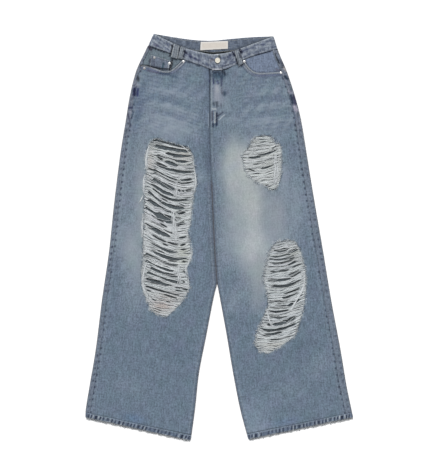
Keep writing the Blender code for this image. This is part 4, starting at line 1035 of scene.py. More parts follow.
def shade_seams(side, x, y, colour):
    """Rubbed ridges and dark valleys beside the outseam, the inseam, the centre seam and the fly; painted
    shade along the fronts' rolled inner edges, a painted shadow beside the fly's edge and soft painted shade
    down the centre seam.
    """
    seam = (SIDE_X[side](y) - x) * OUTWARD[side] - SEAM_INSET[side](y)
    reach = (x - inner_x(side, y)) * OUTWARD[side]
    valley = np.clip(-1.9 * rope(y, *OUTSEAM_ROPE) - 0.3, 0, 1) * bell(seam, 2, 3)
    colour = toned(colour, "30384c", valley)
    colour = toned(colour, "909ba8", 0.3 * bell(seam, 6.5, 2.5))
    low = 1 - smooth_step(y, CROTCH - 30, CROTCH)
    ridge = 0.6 + 0.4 * rope(y, *INSEAM_ROPE)
    colour = layered(
        colour,
        ("98a4b0", 0.55 * bell(reach, 8.5, 2) * low * ridge),
        ("4d5868", 0.5 * bell(reach, 4, 2.4) * low * (1.2 - ridge)),
        # painted shade along the inseam's rolled edge
        ("5f5c62", 0.75 * bell(reach, 0, 1.8) * low))
    high = smooth_step(y, CROTCH - 10, CROTCH + 30)
    fly = smooth_step(y, 285, 300)
    if side == "right":
        return layered(
            colour,
            # painted shadow of the fly's edge, then soft painted shade down the centre seam
            ("1d232c", 0.95 * fly * bell(reach, 0, 1.7)),
            ("4b515c", 0.55 * (high - fly).clip(0) * bell(reach, 0, 6)),
            ("56647a", 0.45 * high * bell(reach, 0, 15)))
    return layered(
        colour,
        # painted shade along the left front's rolled edge at the centre
        ("3a4350", (0.35 * high + 0.5 * fly) * bell(reach, 0, 1.6)),
        ("aab3b9", (0.2 * high + 0.25 * fly) * bell(reach, 4.8, 1.2)),
        ("4d5a72", 0.4 * high * bell(reach, 9, 2) * (0.5 + 0.5 * rope(y, 9, 15))))


def lip_wash(x, y, share, lift, upper, wash_below):
    """Wash of a back panel: the hidden side's below, and on its lip beside the outseam a greyer tone with
    pale and dark flecks at the hip, dark dots in the valleys of the roping and painted shade along the fold
    at its edge."""
    hip = smooth_step(y, 240, 320)
    dots = np.clip(-1.6 * rope(y, *LIP_ROPE) - 0.4, 0, 1) * bell(share, 7, 2.4)
    edge = bell(share, 0.6, 1.5) * (lift > 1.2)
    colour = layered(
        np.where(upper[:, None] > 0, denim_wash(x, y), wash_below),
        ("767e8c", 0.5 * upper),
        ("918f9c", upper * 0.4 * hip * (0.5 + 0.6 * waves(y, share, 16, 43))),
        ("4c5260", upper * 0.4 * hip * (0.3 + 0.8 * waves(y, share * 2, 11, 45))),
        ("383f52", dots * upper),
        # painted shade along the fold at the lip's edge
        ("64605f", 0.7 * edge * (0.7 + 0.4 * waves(y, y * 0, 22, 44))))
    return np.where(upper[:, None] > 0.5, brushed_and_shaded(colour.copy(), x, y), colour)


def make_back(side, low_height, high_height, name, node):
    """Back panel or yoke: a flat layer folded round the side, with a lip above that ends at the outseam.
    Its section is carried up the rows of the leg."""
    heights = np.linspace(low_height, high_height, round((high_height - low_height) / 3) + 1)
    outer, _, along, width = row_frame(side, heights, back=True)
    lip = SEAM_INSET[side](heights)
    turn = np.linspace(np.pi / 2, 3 * np.pi / 2, 10)
    fold = np.column_stack([SIDE_FOLD * (1 + np.cos(turn)), SIDE_FOLD * (1 + np.sin(turn))])
    on_lip = np.linspace(1, 0, 9)[:-1]
    below = column_shares(250, 2.5, 6, 20)[1:]
    reach = np.concatenate([
        SIDE_FOLD + (lip[:, None] - SIDE_FOLD) * on_lip,
        np.broadcast_to(fold[:, 0], (len(heights), len(fold))),
        SIDE_FOLD + (width[:, None] - SIDE_FOLD) * below], axis=1)
    z = np.concatenate([np.full(len(on_lip), 2 * SIDE_FOLD), fold[:, 1], np.zeros(len(below))])
    flat = outer[:, None] + along[:, None] * reach[..., None]
    columns = flat.shape[1]
    x, y = flat[..., 0].ravel(), flat[..., 1].ravel()
    lift = np.broadcast_to(z, reach.shape).ravel()
    upper = smooth_step(lift, 2.5, 4.5)
    drop = lip_drop(side, np.repeat(heights, columns))
    y = y - drop * smooth_step(lift, CLOTH, 2 * SIDE_FOLD - CLOTH)
    share = reach.ravel()
    puff = upper * smooth_step(share, 0.5, 2.5) * 0.25 * rope(y, *LIP_ROPE) * bell(share, 7, 6)
    wash_below, rise = under_side(side, x, y, np.repeat(heights, columns), share)
    puff = puff + rise * (1 - smooth_step(lift, 0, 1))
    colour = lip_wash(x, y, share, lift, upper, wash_below)
    points = np.column_stack([x, y, ground(y) + lift + puff])
    faces = grid_faces(len(heights), columns)
    if side == "right":
        faces = faces[:, ::-1]
    piece = make_piece(name + side, points, faces, DENIM, colour, leg_uv(side, np.column_stack([x, y])),
                       node=node + side)
    thicken(piece, CLOTH, SHADED_WRONG_SIDE)


def under_side(side, x, y, row, share):
    """The hidden side of a back panel: its wash, with painted shade beside the felled seams and a painted
    shadow round the back pockets, and how far it rises off the surface between its felled seams, which lie at
    the centre, the inseam and the yoke, and along its creases."""
    reach = (x - inner_x(side, y, back=True)) * OUTWARD[side]
    yoke = row - LEVELS[side][3][0]
    fell = np.maximum(bell(reach, 5.5, 4.5, 4), bell(yoke, 5, 4.5, 4))
    roping = rope(y, 11, 48) * bell(reach, 5.5, 6, 4) + rope(x, 11, 49) * bell(yoke, 5, 6, 4)
    folds = np.clip(crease_height(x, y, BACK_CREASES), 0, 1) + 0.15 + 0.15 * waves(x, y, 70, 50)
    rise = (0.3 + folds) * (1 - fell) * smooth_step(share, SIDE_FOLD, 20) + 0.1 * fell * (1 - roping)
    colour = denim_wash(x, y, BACK_FADES, BACK_CREASES, 0)
    colour = toned(colour, "a7b0b8", 0.55 * fell * np.clip(0.45 + 0.6 * roping, 0, 1))
    colour = toned(colour, "3d475a", 0.6 * fell * np.clip(-0.2 - 0.8 * roping, 0, 1))
    # painted shade beside the felled seams
    beside = bell(reach, 11.5, 1.6) + bell(reach, 0, 1.4)
    beside = beside + bell(yoke, 11, 1.6) + bell(yoke, 0, 1.4)
    colour = toned(colour, "414c60", 0.55 * np.clip(beside, 0, 1))
    # painted shadow round the back pockets
    gap = pocket_gap(side, x, y)
    return toned(colour, "3b4557", 0.6 * bell(gap, 0, 3)), rise


def pocket_gap(side, x, y):
    """How far each point is from a back pocket's outline, worked out only close to it."""
    loop = np.array(BACK_POCKETS[side])
    return distance(x, y, loop, near=(y > loop[:, 1].min() - 12) & (y < loop[:, 1].max() + 12))


def lip_drop(side, outer_height):
    """How far a yoke's lip slopes down from its row to stay under the front of the waistband."""
    top = np.array([LEVELS[side][-1][0] - 0.6])
    yoke = LEVELS[side][-2][0]
    outer, _, along, _ = row_frame(side, top)
    spot = (outer + along * SEAM_INSET[side](top)[:, None])[0]
    full = max(0, spot[1] - np.interp(spot[0], *FOOT_EDGE.T) + 0.6)
    return full * smooth_step(outer_height, yoke, top[0])


def plane_grid(loop, step):
    """A square grid over a loop's box, trimmed to the loop from outside."""
    low, high = loop.min(axis=0) - step, loop.max(axis=0) + step
    xs = np.arange(low[0], high[0] + step, step)
    ys = np.arange(low[1], high[1] + step, step)
    gx, gy = np.meshgrid(xs, ys)
    flat = np.column_stack([gx.ravel(), gy.ravel()])
    faces = grid_faces(len(ys), len(xs))
    kept = inside(flat[faces].mean(axis=1), loop)
    used = np.unique(faces[kept])
    cut = np.unique(faces[~kept])
    border = np.intersect1d(used, cut)
    flat[border] = nearest_on(flat[border], loop)[0]
    number = np.full(len(flat), -1)
    number[used] = np.arange(len(used))
    return flat[used], number[faces[kept]]


def make_patch(name, loop, height, colour_of, node, step=2.5, wall=CLOTH, under=False, material=DENIM):
    """A flat piece of cloth inside a loop, at a height given by a function, facing up or down."""
    flat, faces = plane_grid(loop, step)
    x, y = flat[:, 0], flat[:, 1]
    points = np.column_stack([x, y, height(x, y)])
    if under:
        faces = faces[:, ::-1]
    thicken(make_piece(name, points, faces, material, colour_of(x, y), flat, node=node), wall)


for side in LEVELS:
    make_front(side)
for side, levels in LEVELS.items():
    make_back(side, levels[0][0] + HEM_DEPTH - 1, levels[3][0] - 0.1, "back_panel_", "back_")
    make_back(side, levels[3][0] + 0.2, levels[4][0] + 0.3, "yoke_panel_", "yoke_")


# -------------------- stitches

def stitch_run(path, sink=0.35):
    """Sewn line: short arcs of thread at even pitch along a path, each end sunk into the cloth."""
    path = np.asarray(path, float)
    along = arc_length(path)
    count = max(1, int(along[-1] / STITCH_PITCH))
    start = np.arange(count) * along[-1] / count
    marks = start[:, None] + np.linspace(0, STITCH_SHARE * STITCH_PITCH, 4)[None]
    points = np.stack([np.interp(marks, along, path[:, k]) for k in range(3)], axis=-1)
    points[..., 2] -= np.array([sink, 0, 0, sink])[None]
    return points


def bartack(start, end, width, pitch=0.9):
    """Bar tack: close threads laid across a short line."""
    start, end = np.asarray(start, float), np.asarray(end, float)
    length = np.linalg.norm(end - start)
    along = (end - start) / length
    across = np.array([-along[1], along[0], 0]) * width / 2
    marks = np.linspace(0, 1, max(2, int(length / pitch)))
    middle = start + (end - start) * marks[:, None]
    shares = np.array([-1, -0.4, 0.4, 1])
    points = middle[:, None] + across * shares[None, :, None]
    points[..., 2] -= np.array([0.3, 0, 0, 0.3])[None]
    return points


def thread_piece(name, paths, radius, wash, sides=4, taper=0.5, material=THREAD, node=None):
    """Many threads as one mesh, each with its own radius, and with one tone or a tone at each step."""
    points, faces, caps = tubes(paths, radius, sides, taper)
    tones = np.broadcast_to(wash if wash.ndim == 3 else wash[:, None], paths.shape).reshape(-1, 3)
    make_piece(name, points, faces, material, np.repeat(tones, sides, axis=0), caps=caps, node=node)


def stitches_piece(name, runs, colour, radius=0.34):
    """All stitches of one area as one mesh, each thread with a slightly different tone."""
    paths = np.concatenate(runs)
    wash = srgb(colour) + rng.normal(0, 0.03, (len(paths), 1))
    thread_piece(name, paths, np.full(len(paths), radius), wash, taper=0.6, material=SEWING)


def level_run(line, height, sink=0.35):
    """Sewn line at one height; a negative sink is for the cloth's underside."""
    return stitch_run(np.column_stack([line, np.broadcast_to(height, len(line))]), sink=sink)


def straight_run(corners, height, sink=0.35):
    """Sewn line from corner to corner at one height."""
    return level_run(even_steps(corners, SEWING_STEP), height, sink)


def on_front(side, line, lift):
    """A line in the plane raised on to a front panel."""
    line = np.asarray(line, float)
    return np.column_stack([line, front_top(side, line[:, 0], line[:, 1]) + lift])


def front_run(side, line, lift):
    """Sewn line on a front panel."""
    return stitch_run(on_front(side, line, lift))


def shifted(line, distance):
    """A line moved sideways, to its left where the distance is positive."""
    moved = line.copy()
    moved[:, :2] += left_of(line[:, :2]) * distance
    return moved


# -------------------- loose threads of the rips

def rung_lines(table, steps, peak, reach):
    """Threads between the rips' sides: rungs joined smoothly down the table, cut at even spacing down the
    middle, each sagging to a point a share of the way across."""
    rungs = curve_through(np.array(table, float), 6)
    middle = (rungs[:, 1] + rungs[:, 3]) / 2
    down = np.concatenate([[0], np.cumsum(np.maximum(-np.diff(middle), 0.05))])
    marks = np.arange(0, down[-1], THREAD_PITCH)
    marks = marks + rng.uniform(-0.3, 0.3, len(marks)) * THREAD_PITCH
    rows = np.column_stack([np.interp(marks, down, rungs[:, k]) for k in range(5)])
    left, right = rows[:, :2], rows[:, 2:4]
    span = np.linalg.norm(right - left, axis=1, keepdims=True)
    out = (right - left) / span * reach
    left, right = left - out, right + out
    share = np.linspace(0, 1, steps)
    bow = np.sin(np.pi * share ** (math.log(0.5) / math.log(peak)))
    x = left[:, :1] + (right[:, :1] - left[:, :1]) * share
    y = left[:, 1:] + (right[:, 1:] - left[:, 1:]) * share - rows[:, 4:] * bow
    return x, y


def part_threads(x, y, slits):
    """Threads pushed apart at each slit: a thread stays on the side where most of it runs, and the gap opens
    as a lens whose push dies away over twice its width.  Returns how far each point is in a slit's own
    shadow too: the threads above a slit, and those below a narrow one."""
    dark = np.zeros(x.shape)
    for x0, y0, x1, y1, dip, width in slits:
        width = width + SLIT_EASE
        share = (x - x0) / (x1 - x0)
        within = (share > 0) & (share < 1)
        bow = np.clip(4 * share * (1 - share), 0, 1)
        line = y0 + (y1 - y0) * share - dip * bow
        gap = y - line
        count = np.maximum(within.sum(axis=1), 1)
        side = np.where((gap * within).sum(axis=1) / count >= 0, 1, -1)[:, None]
        rough = 1 + 0.35 * waves(x, line * 3 + side * 40, 24, int(abs(x0 * 7 + y0)) % 997, 2)
        half = width / 2 * bow**0.42 * rough
        reach = width * 1.5 + 4
        own = np.clip(gap * side, 0, None)
        pushed = np.where(own < reach, half + own * (reach - half) / reach, own)
        y = np.where(within & (half > 0.05), line + side * pushed, y)
        lit = np.where(side > 0, 1, 0.85 if width < 5.8 else 0.1) * min(width / 3.5, 1) * bow**0.3
        dark = np.maximum(dark, within * lit * bell(own, 0, (1.5 if width < 7 else 2.2)))
    return x, y, dark


def short_partings(x, y, number, steps):
    """Small slits between threads picked at random, each along its own thread for a few steps."""
    row = rng.integers(6, len(x) - 6, number)
    first = rng.integers(1, steps - 9, number)
    last = first + rng.integers(3, 8, number)
    middle = (first + last) // 2
    dip = (y[row, first] + y[row, last]) / 2 - y[row, middle]
    width = rng.uniform(0.4, 1.6, number)
    return np.column_stack([x[row, first], y[row, first], x[row, last], y[row, last], dip, width]).tolist()


def bunch_threads(x, y, strand):
    """Threads drawn together into strands 4 to 8 mm wide: each moves a share of the way to its strand's
    middle, by an amount that comes and goes along it.  Returns y and how far out in its strand each lies."""
    place = strand / STRAND_WIDTH + 0.55 * waves(x * 0.6, strand, 46, 55, 2)
    offset = place - np.floor(place) - 0.5
    tight = np.clip(0.16 + 0.42 * waves(x, np.floor(place) * 23, 52, 56, 2), 0, 0.5)
    return y + offset * STRAND_WIDTH * tight, 2 * offset, tight


def make_threads(rip, steps):
    """Weft threads left across a rip: drawn together into strands and parted at the slits, with fine loose
    ones over them."""
    x, y = rung_lines(RUNGS[rip], steps, SAG_PEAK[rip], 8)
    count = len(x)
    strand = np.arange(count)[:, None] * THREAD_PITCH + 0 * x
    drift = waves(x, strand * 3, 60, 51, 2) * 0.9
    y, out, tight = bunch_threads(x, y + drift, strand)
    x, y, dark = part_threads(x, y, list(SLITS[rip]) + short_partings(x, y, PARTINGS[rip], steps))
    y = y + rng.normal(0, 0.15, (count, 1)) + 0.15 * rng.normal(0, 1, x.shape)
    crown = 1 - out**2
    share = np.linspace(0, 1, steps)
    height = 3.75 + 0.8 * crown * np.clip(tight * 2, 0.2, 1) + rng.uniform(-0.3, 0.3, (count, 1))
    tied = np.clip(np.minimum(share, 1 - share) * 9, 0, 1)
    z = ground(y) + THREAD_HOLD + (height - THREAD_HOLD) * tied
    paths = np.stack([x, y, z], axis=-1)
    tone = rng.normal(0, 0.035, (count, 1)) + 0.035 * waves(x, strand, 26, 53, 2)
    radius = rng.uniform(0.42, 0.60, count)
    loose, loose_radius = loose_threads(x, y, z)
    colour = srgb(COTTON[rip]) + tone[..., None] + rng.normal(0, 0.006, (count, 1, 3))
    # painted shade in the valleys between the strands
    sunk = np.clip((np.abs(out) - 0.45) / 0.55, 0, 1) * np.clip(tight * 2.2, 0, 1)
    colour = toned(colour, "69737a", VALLEY_SHADE[rip] * sunk)
    for tx, ty, across, tall, tint in THREAD_TINTS[rip]:
        near = np.exp(-((x - tx) / across) ** 2 - ((y - ty) / tall) ** 2)
        colour = toned(colour, tint, 0.6 * near * (0.6 + 0.4 * waves(x, strand * 2, 7, 58, 2)))
    edge = np.exp(-np.minimum(share, 1 - share) * 16)[None] * (0.6 + 0.7 * waves(x, strand, 38, 59, 2))
    colour = toned(toned(colour, "e6edef", 0.8 * edge), "0c1012", dark).clip(0, 1)
    fine = np.broadcast_to(srgb("ebf0f2"), loose.shape)
    thread_piece("rip_threads_" + rip + "_strands", np.concatenate([paths, loose]),
                 np.concatenate([radius, loose_radius]), np.concatenate([colour, fine]), taper=0.7,
                 node="rip_threads_" + rip)


def loose_threads(x, y, z):
    """Fine threads over the rest: each wanders from its own course to that of one a few places on."""
    count, steps = x.shape
    number = count // 5
    first = rng.integers(0, count - 8, number)
    other = np.clip(first + rng.integers(-7, 8, number), 0, count - 1)
    share = np.linspace(0, 1, steps)
    mix = smooth_step(share[None] + rng.uniform(-0.3, 0.3, (number, 1)), 0.25, 0.75)
    lx = x[first]
    ly = y[first] * (1 - mix) + y[other] * mix + rng.normal(0, 0.25, (number, 1))
    lz = np.maximum(z[first], z[other]) + 0.45 + rng.uniform(0, 0.3, (number, 1))
    tied = np.clip(np.minimum(share, 1 - share) * 9, 0, 1)
    lz = THREAD_HOLD + ground(ly) + (lz - THREAD_HOLD - ground(ly)) * tied
    return np.stack([lx, ly, lz], axis=-1), rng.uniform(0.25, 0.4, number)


def fibres(spots, headings, lengths, heights, bend):
    """Short fibres: each leaves its spot along its heading and bends sideways as the square of the way."""
    share = np.linspace(0, 1, FIBRE_STEPS)[None]
    c, s = np.cos(headings)[:, None], np.sin(headings)[:, None]
    run = lengths[:, None] * share
    side = bend[:, None] * run * share
    x = spots[:, :1] + run * c - side * s
    y = spots[:, 1:2] + run * s + side * c
    z = heights[:, None] + 0.35 * np.sin(np.pi * share) * np.ones_like(x)
    return np.stack([x, y, z], axis=-1)


def make_strays(rip):
    """Loose strands lying over a rip and its edges: for each, threads side by side that wander about its run
    and cross one another."""
    side = RIP_LEG[rip]
    paths, sizes = [], []
    for run, number, spread in STRAYS[rip]:
        number = number * 2
        middle = even_steps(curve_through(run, 2), 3)
        across = left_of(middle)
        first = rng.uniform(-0.15, 0.55, (number, 1)).clip(0, 1)
        last = np.clip(first + rng.uniform(0.3, 0.8, (number, 1)), 0, 1)
        share = first + (last - first) * np.linspace(0, 1, 16)
        rows = share * (len(middle) - 1)
        step = np.arange(len(middle))
        x, y = np.interp(rows, step, middle[:, 0]), np.interp(rows, step, middle[:, 1])
        nx, ny = np.interp(rows, step, across[:, 0]), np.interp(rows, step, across[:, 1])
        start, swing = rng.normal(0, spread * 0.6, (number, 1)), rng.normal(0, spread * 0.6, (number, 1))
        off = start + swing * np.sin(share * rng.uniform(2, 7, (number, 1)) + rng.uniform(0, 6, (number, 1)))
        px, py = x + nx * off, y + ny * off
        pz = front_top(side, px, py) + 0.55 + rng.uniform(0, 0.5, (number, 1))
        paths.append(np.stack([px, py, pz], axis=-1))
        sizes.append(rng.uniform(0.24, 0.42, number))
    sizes = np.concatenate(sizes)
    wash = srgb("e2e7ea") + rng.normal(0, 0.03, (len(sizes), 1))
    thread_piece("rip_strays_" + rip, np.concatenate(paths), sizes, wash)


def make_rip_fray(rip):
    """Frayed edge of a rip: short fibres that point into the hole or lie over the cloth beside it."""
    side = RIP_LEG[rip]
    edge = even_ring(RIP_EDGE[rip], 1 / FRAY_PER_MM)
    ahead = np.roll(edge, -1, axis=0) - np.roll(edge, 1, axis=0)
    inward = np.arctan2(-ahead[:, 0], ahead[:, 1])
    number = len(edge)
    tuft = 0.35 + 0.9 * np.clip(waves(edge[:, 0], edge[:, 1], 26, 63, 3), -0.3, 1)
    outward = rng.random(number) < 0.55
    turn = inward + np.where(outward, np.pi, 0) + rng.normal(0, 0.7, number)
    length = FRAY_LONGEST * rng.uniform(0.3, 1, number) ** 1.3 * tuft
    spots = edge + rng.normal(0, 0.8, edge.shape)
    height = front_top(side, spots[:, 0], spots[:, 1]) + np.where(outward, 0.65, 0.35)
    paths = fibres(spots, turn, length, height, rng.normal(0, 0.5, number))
    radius = rng.uniform(0.22, 0.45, number)
    wash = srgb("dde3e6") + rng.normal(0, 0.04, (number, 1))
    wash = np.where(rng.random((number, 1)) < 0.3, srgb("93a2b2"), wash)
    thread_piece("rip_edge_fray_" + rip, paths, radius, wash, sides=3)


for rip in RIPS:
    make_threads(rip, 30 if rip == "right_leg" else 24)
    make_strays(rip)
    make_rip_fray(rip)


# -------------------- pockets

def flat_wash(x, y, colour, mottle, seed):
    """Wash of a small piece: one tone with a slow mottle."""
    return srgb(colour) + mottle * waves(x, y, 16, seed)[:, None]


def facing_loop(side):
    """Facing behind a pocket mouth, from under the waistband to past the mouth's edge."""
    mouth, out = MOUTH_EDGE[side], OUTWARD[side]
    end_x = SIDE_X[side](mouth[-1][1]) - out * SEAM_INSET[side](mouth[-1][1])
    lower = mouth + np.array([0, -22])
    lower[:, 0] = np.where((lower[:, 0] - end_x) * out > -0.3, end_x - out * 0.3, lower[:, 0])
    heights = np.linspace(lower[-1][1], LEVELS[side][-1][0] - 10, 12)
    seam = np.column_stack([SIDE_X[side](heights) - out * (SEAM_INSET[side](heights) + LAYER_GAP), heights])
    band = band_foot_line(seam[-1][0], mouth[0][0] - out * 10)
    return np.vstack([lower, seam, band])


def make_pockets():
    """Facings and the coin pocket behind the mouths, and the patch pockets under the seat."""
    for side, tint in (("right", "6c7a84"), ("left", "77849a")):
        make_patch("pocket_facing_cloth_" + side, facing_loop(side), lambda x, y: np.full_like(x, FACING_TOP),
                   mouth_shade(side, tint), "pocket_facing_" + side)
        make_patch("back_pocket_cloth_" + side, even_ring(BACK_POCKETS[side], 6),
                   lambda x, y: np.full_like(x, BACK_POCKET_LIFT), pocket_wash(side), "back_pocket_" + side,
                   step=3, under=True)
    corners = np.array(COIN_POCKET)
    mouth = MOUTH_EDGE["right"]
    between = mouth[(mouth[:, 0] > corners[3][0]) & (mouth[:, 0] < corners[2][0])] + np.array([0, 1.2])
    loop = np.vstack([even_steps(corners[[1, 0]], 4), between[::-1]])

    def puffed(x, y):
        gap = distance(x, y, loop)
        return SEAT_RISE + 4.7 - 0.7 * np.exp(-gap / 1.2) + 0.2 * waves(x, y, 9, 64)

    def wash(x, y):
        gap = distance(x, y, loop)
        colour = flat_wash(x, y, "6a7484", 0.05, 66)
        colour = toned(colour, "98a1a8", 0.6 * bell(gap, 0, 1.4))
        colour = toned(colour, "4b5263", 0.45 * bell(gap, 3.4, 1.2))
        return brushed_and_shaded(colour, x, y)

    make_patch("coin_pocket_cloth", loop, puffed, wash, "coin_pocket", step=1.6)


def pocket_wash(side):
    """A back pocket's wash: pale at its rubbed edge and mouth, dark beside the two sewn lines, faded in the
    middle."""
    loop = np.array(BACK_POCKETS[side])

    def wash(x, y):
        gap = pocket_gap(side, x, y)
        middle = loop.mean(axis=0)
        colour = flat_wash(x, y, "6b7a8b", 0.03, 67)
        return layered(
            colour,
            ("8f9ba8", 0.6 * np.exp(-((x - middle[0]) / 45) ** 2 - ((y - middle[1]) / 60) ** 2)),
            ("aab3ba", 0.75 * bell(gap, 0, 1.6)),
            ("414c60", 0.5 * bell(gap, 5.5, 2) * (0.7 + 0.4 * waves(x, y, 14, 68))))

    return wash


def mouth_shade(side, tint):
    """A facing's wash, with a painted shadow, nearly black, close above the mouth's edge, and painted shadow
    beside the waistband's foot and the belt loops.
    """
    def wash(x, y):
        colour = flat_wash(x, y, tint, 0.03, 62)
        gap = distance(x, y, MOUTH_EDGE[side], closed=False)
        # painted shadow close above the mouth's edge
        colour = toned(colour, "2a3040", 0.55 * bell(gap, 0, 2.6))
        return brushed_and_shaded(toned(colour, PAINTED_SHADE, contact_shadow(x, y)), x, y)

    return wash


make_pockets()


# -------------------- hems

def hem_wash(x, y, along, up, ridge, top_face, length):
    """Wash of a hem: pale ridges and dark valleys in uneven clumps, a lower edge worn white, a rubbed fold
    above the sewn line and dark corners."""
    clump = waves(along, up * 20, 30, 75)
    body = smooth_step(up, 0.05, 0.18) * (1 - smooth_step(up, 0.72, 0.86)) * top_face
    worn = 0.13 + 0.12 * waves(along, up * 5, 19, 77)
    corner = bell(np.minimum(along, length - along), 0, 9)
    return layered(
        denim_wash(x, y),
        ("59657a", 0.6 * body),
        ("c0c7cb", 0.85 * np.clip(1.4 * ridge - 0.4 + 0.3 * clump, 0, 1) * body),
        ("1c2438", np.clip(-ridge * (1.15 + 0.8 * clump) + 0.08 * clump, 0, 0.9) * body),
        ("dfe3e6", 0.9 * smooth_step(worn - up, 0, 0.12) * (0.85 + 0.3 * clump)),
        ("b3bbc2", 0.35 * bell(up, 0.91, 0.05) * top_face * (0.6 + 0.8 * clump)),
        ("2b3449", 0.5 * corner * body * (0.6 + 0.6 * waves(x, y, 8, 76))))


def make_hem(side):
    """Turned-up hem: a ring of doubled cloth round the foot of the leg.  Its section, a thin rounded
    rectangle, is carried along a path that folds at both sides, with slanted roping."""
    low_outer, low_inner, _, _ = row_frame(side, np.array([LEVELS[side][0][0]]))
    low_outer, low_inner = low_outer[0], low_inner[0]
    high_outer, high_inner = low_outer + (0, HEM_DEPTH), low_inner + (0, HEM_DEPTH)
    high_outer[0] = SIDE_X[side](high_outer[1])
    high_inner[0] = inner_x(side, high_inner[1])
    length = np.linalg.norm(low_inner - low_outer)
    straight = np.linspace(0, 1, round(length / 2))
    inset = HEM_FOLD / length
    bend = np.linspace(0, np.pi, 8)[1:-1]
    run_top = inset + (1 - 2 * inset) * straight
    run_zero, bend_ones = np.zeros_like(run_top), np.ones_like(bend)
    share = np.concatenate([run_top, bend_ones, run_top[::-1], 0 * bend_ones])
    angle = np.concatenate([run_zero + np.pi / 2, np.pi / 2 - bend, run_zero - np.pi / 2, -np.pi / 2 - bend])
    inset_mm = np.concatenate([run_zero, -HEM_FOLD * bend_ones, run_zero, HEM_FOLD * bend_ones])
    sideways = np.cos(angle) * (np.abs(np.cos(angle)) > 1e-6)
    rise = np.linspace(0, 1, 9)
    up = np.concatenate([rise, rise[::-1]])
    face = np.concatenate([np.ones_like(rise), -np.ones_like(rise)])
    edge_round = (1 - np.abs(2 * up - 1) ** 6) ** 0.5
    along = share * length
    slant = along[:, None] + (up - 0.5) * HEM_DEPTH * 0.25 * OUTWARD[side]
    slant = slant + 2.2 * waves(slant, slant * 0, 31, 74, 2)
    ridge = rope(slant, 10.5, 71) * (face > 0)
    sweep = HEM_FOLD - HEM_WALL / 2 + (HEM_WALL / 2 * edge_round * face + 0.55 * ridge * edge_round)
    outer = low_outer + (high_outer - low_outer) * up[:, None]
    inner = low_inner + (high_inner - low_inner) * up[:, None]
    flat = (outer + (inner - outer) * share[:, None, None]
            + unit(inner - outer) * (inset_mm[:, None] + sweep * sideways[:, None])[..., None])
    flat[..., 1] += (1.8 + 1.2 * waves(along, angle * 9, 26, 72))[:, None] * (1 - up)
    z = np.maximum(HEM_FOLD + sweep * np.sin(angle)[:, None], 0.1)
    points = np.concatenate([flat, z[..., None]], axis=-1).reshape(-1, 3)
    colour = hem_wash(points[:, 0], points[:, 1], np.repeat(along, len(up)), np.tile(up, len(along)),
                      ridge.ravel(), np.tile(face > 0, len(along)), length)
    faces = grid_faces(len(share), len(up), wrap_rows=True, wrap_columns=True)
    if side == "left":
        faces = faces[:, ::-1]
    make_piece("hem_cloth_" + side, points, faces, DENIM, colour, points[:, :2], node="hem_" + side)
    return low_outer, low_inner


def make_hem_fray(side, ends):
    """Fraying below a hem: short pale fibres, in tufts."""
    low_outer, low_inner = ends
    length = np.linalg.norm(low_inner - low_outer)
    number = 900
    share = rng.uniform(0.01, 0.99, number)
    tuft = np.clip(0.5 + 0.8 * waves(share * length, share * 0, 24, 73), 0.08, 1.2)
    spots = low_outer + (low_inner - low_outer) * share[:, None] + np.array([0, 1])
    down = math.atan2(low_inner[1] - low_outer[1], low_inner[0] - low_outer[0])
    down = down - np.pi / 2 if side == "right" else down + np.pi / 2
    turn = down + rng.normal(0, 0.55, number)
    heights = rng.uniform(0.4, 4.6, number)
    paths = fibres(spots, turn, 1.5 + 5.5 * tuft * rng.uniform(0.2, 1, number), heights,
                   rng.normal(0, 0.5, number))
    paths[..., 2] = np.maximum(paths[..., 2] - 0.5 * heights[:, None] * np.linspace(0, 1, FIBRE_STEPS), 0.3)
    radius = rng.uniform(0.2, 0.38, number)
    wash = srgb("c9ced2") + rng.normal(0, 0.06, (number, 1))
    thread_piece("hem_fray_" + side, paths, radius, wash, sides=3)


for side in LEVELS:
    make_hem_fray(side, make_hem(side))


# -------------------- waistband

def band_edge(table, share):
    """Points on a waistband edge at shares of the way from the right fold to the left fold."""
    edge = np.array(table) if table is BAND_BACK_FOOT else curve_through(table, 3)
    x = table[0][0] + (table[-1][0] - table[0][0]) * share
    return np.column_stack([x, np.interp(x, edge[:, 0], edge[:, 1])])


def band_front_height(share):
    """Middle height of the lapped front of the band: raised over the underlap, then down to the panels."""
    return BAND_LEVEL + (BAND_WALL + LAYER_GAP) * (1 - smooth_step(share, *TAB_DROP))


def band_stations():
    """Path of the band from the underlap round the right side, across the back, round the left side and on to
    the button tab: its top, foot, height and outward direction at each station."""
    reach = BAND_FOLD + BAND_WALL / 2
    turn = np.linspace(0, np.pi, 9)
    under = np.linspace(UNDERLAP_END, 0, 75)[:-1]
    back = np.linspace(0, 1, 120)[1:-1]
    lap = np.linspace(1, TAB_END, 90)[1:]
    fold_push = reach - np.sin(turn) * BAND_FOLD
    fold_height = BAND_LEVEL - BAND_FOLD + np.cos(turn) * BAND_FOLD
    pieces = (
        (under, 0 * under, 0 * under + BAND_LEVEL, 0 * under, "front"),
        (0 * turn, fold_push, fold_height, turn, "right"),
        (back, 0 * back, 0 * back + SEAT_RISE + BAND_WALL / 2, 0 * back + np.pi, "back"),
        (0 * turn + 1, -fold_push[::-1], fold_height[::-1], turn[::-1], "left"),
        (lap, 0 * lap, band_front_height(lap), 0 * lap, "front"))
    tops, feet, heights, sides, ups = [], [], [], [], []
    for share, push, z, angle, kind in pieces:
        back_run = kind == "back"
        top = band_edge(BAND_BACK_TOP if back_run else BAND_FRONT_TOP, share)
        foot = band_edge(BAND_BACK_FOOT if back_run else BAND_FRONT_FOOT, share)
        top[:, 0] += push
        foot[:, 0] += push
        tops.append(top)
        feet.append(foot)
        heights.append(z)
        sides.append(np.sin(angle) * (-1 if kind == "right" else 1))
        ups.append(np.cos(angle))
    return [np.concatenate(part) for part in (tops, feet, heights, sides, ups)]


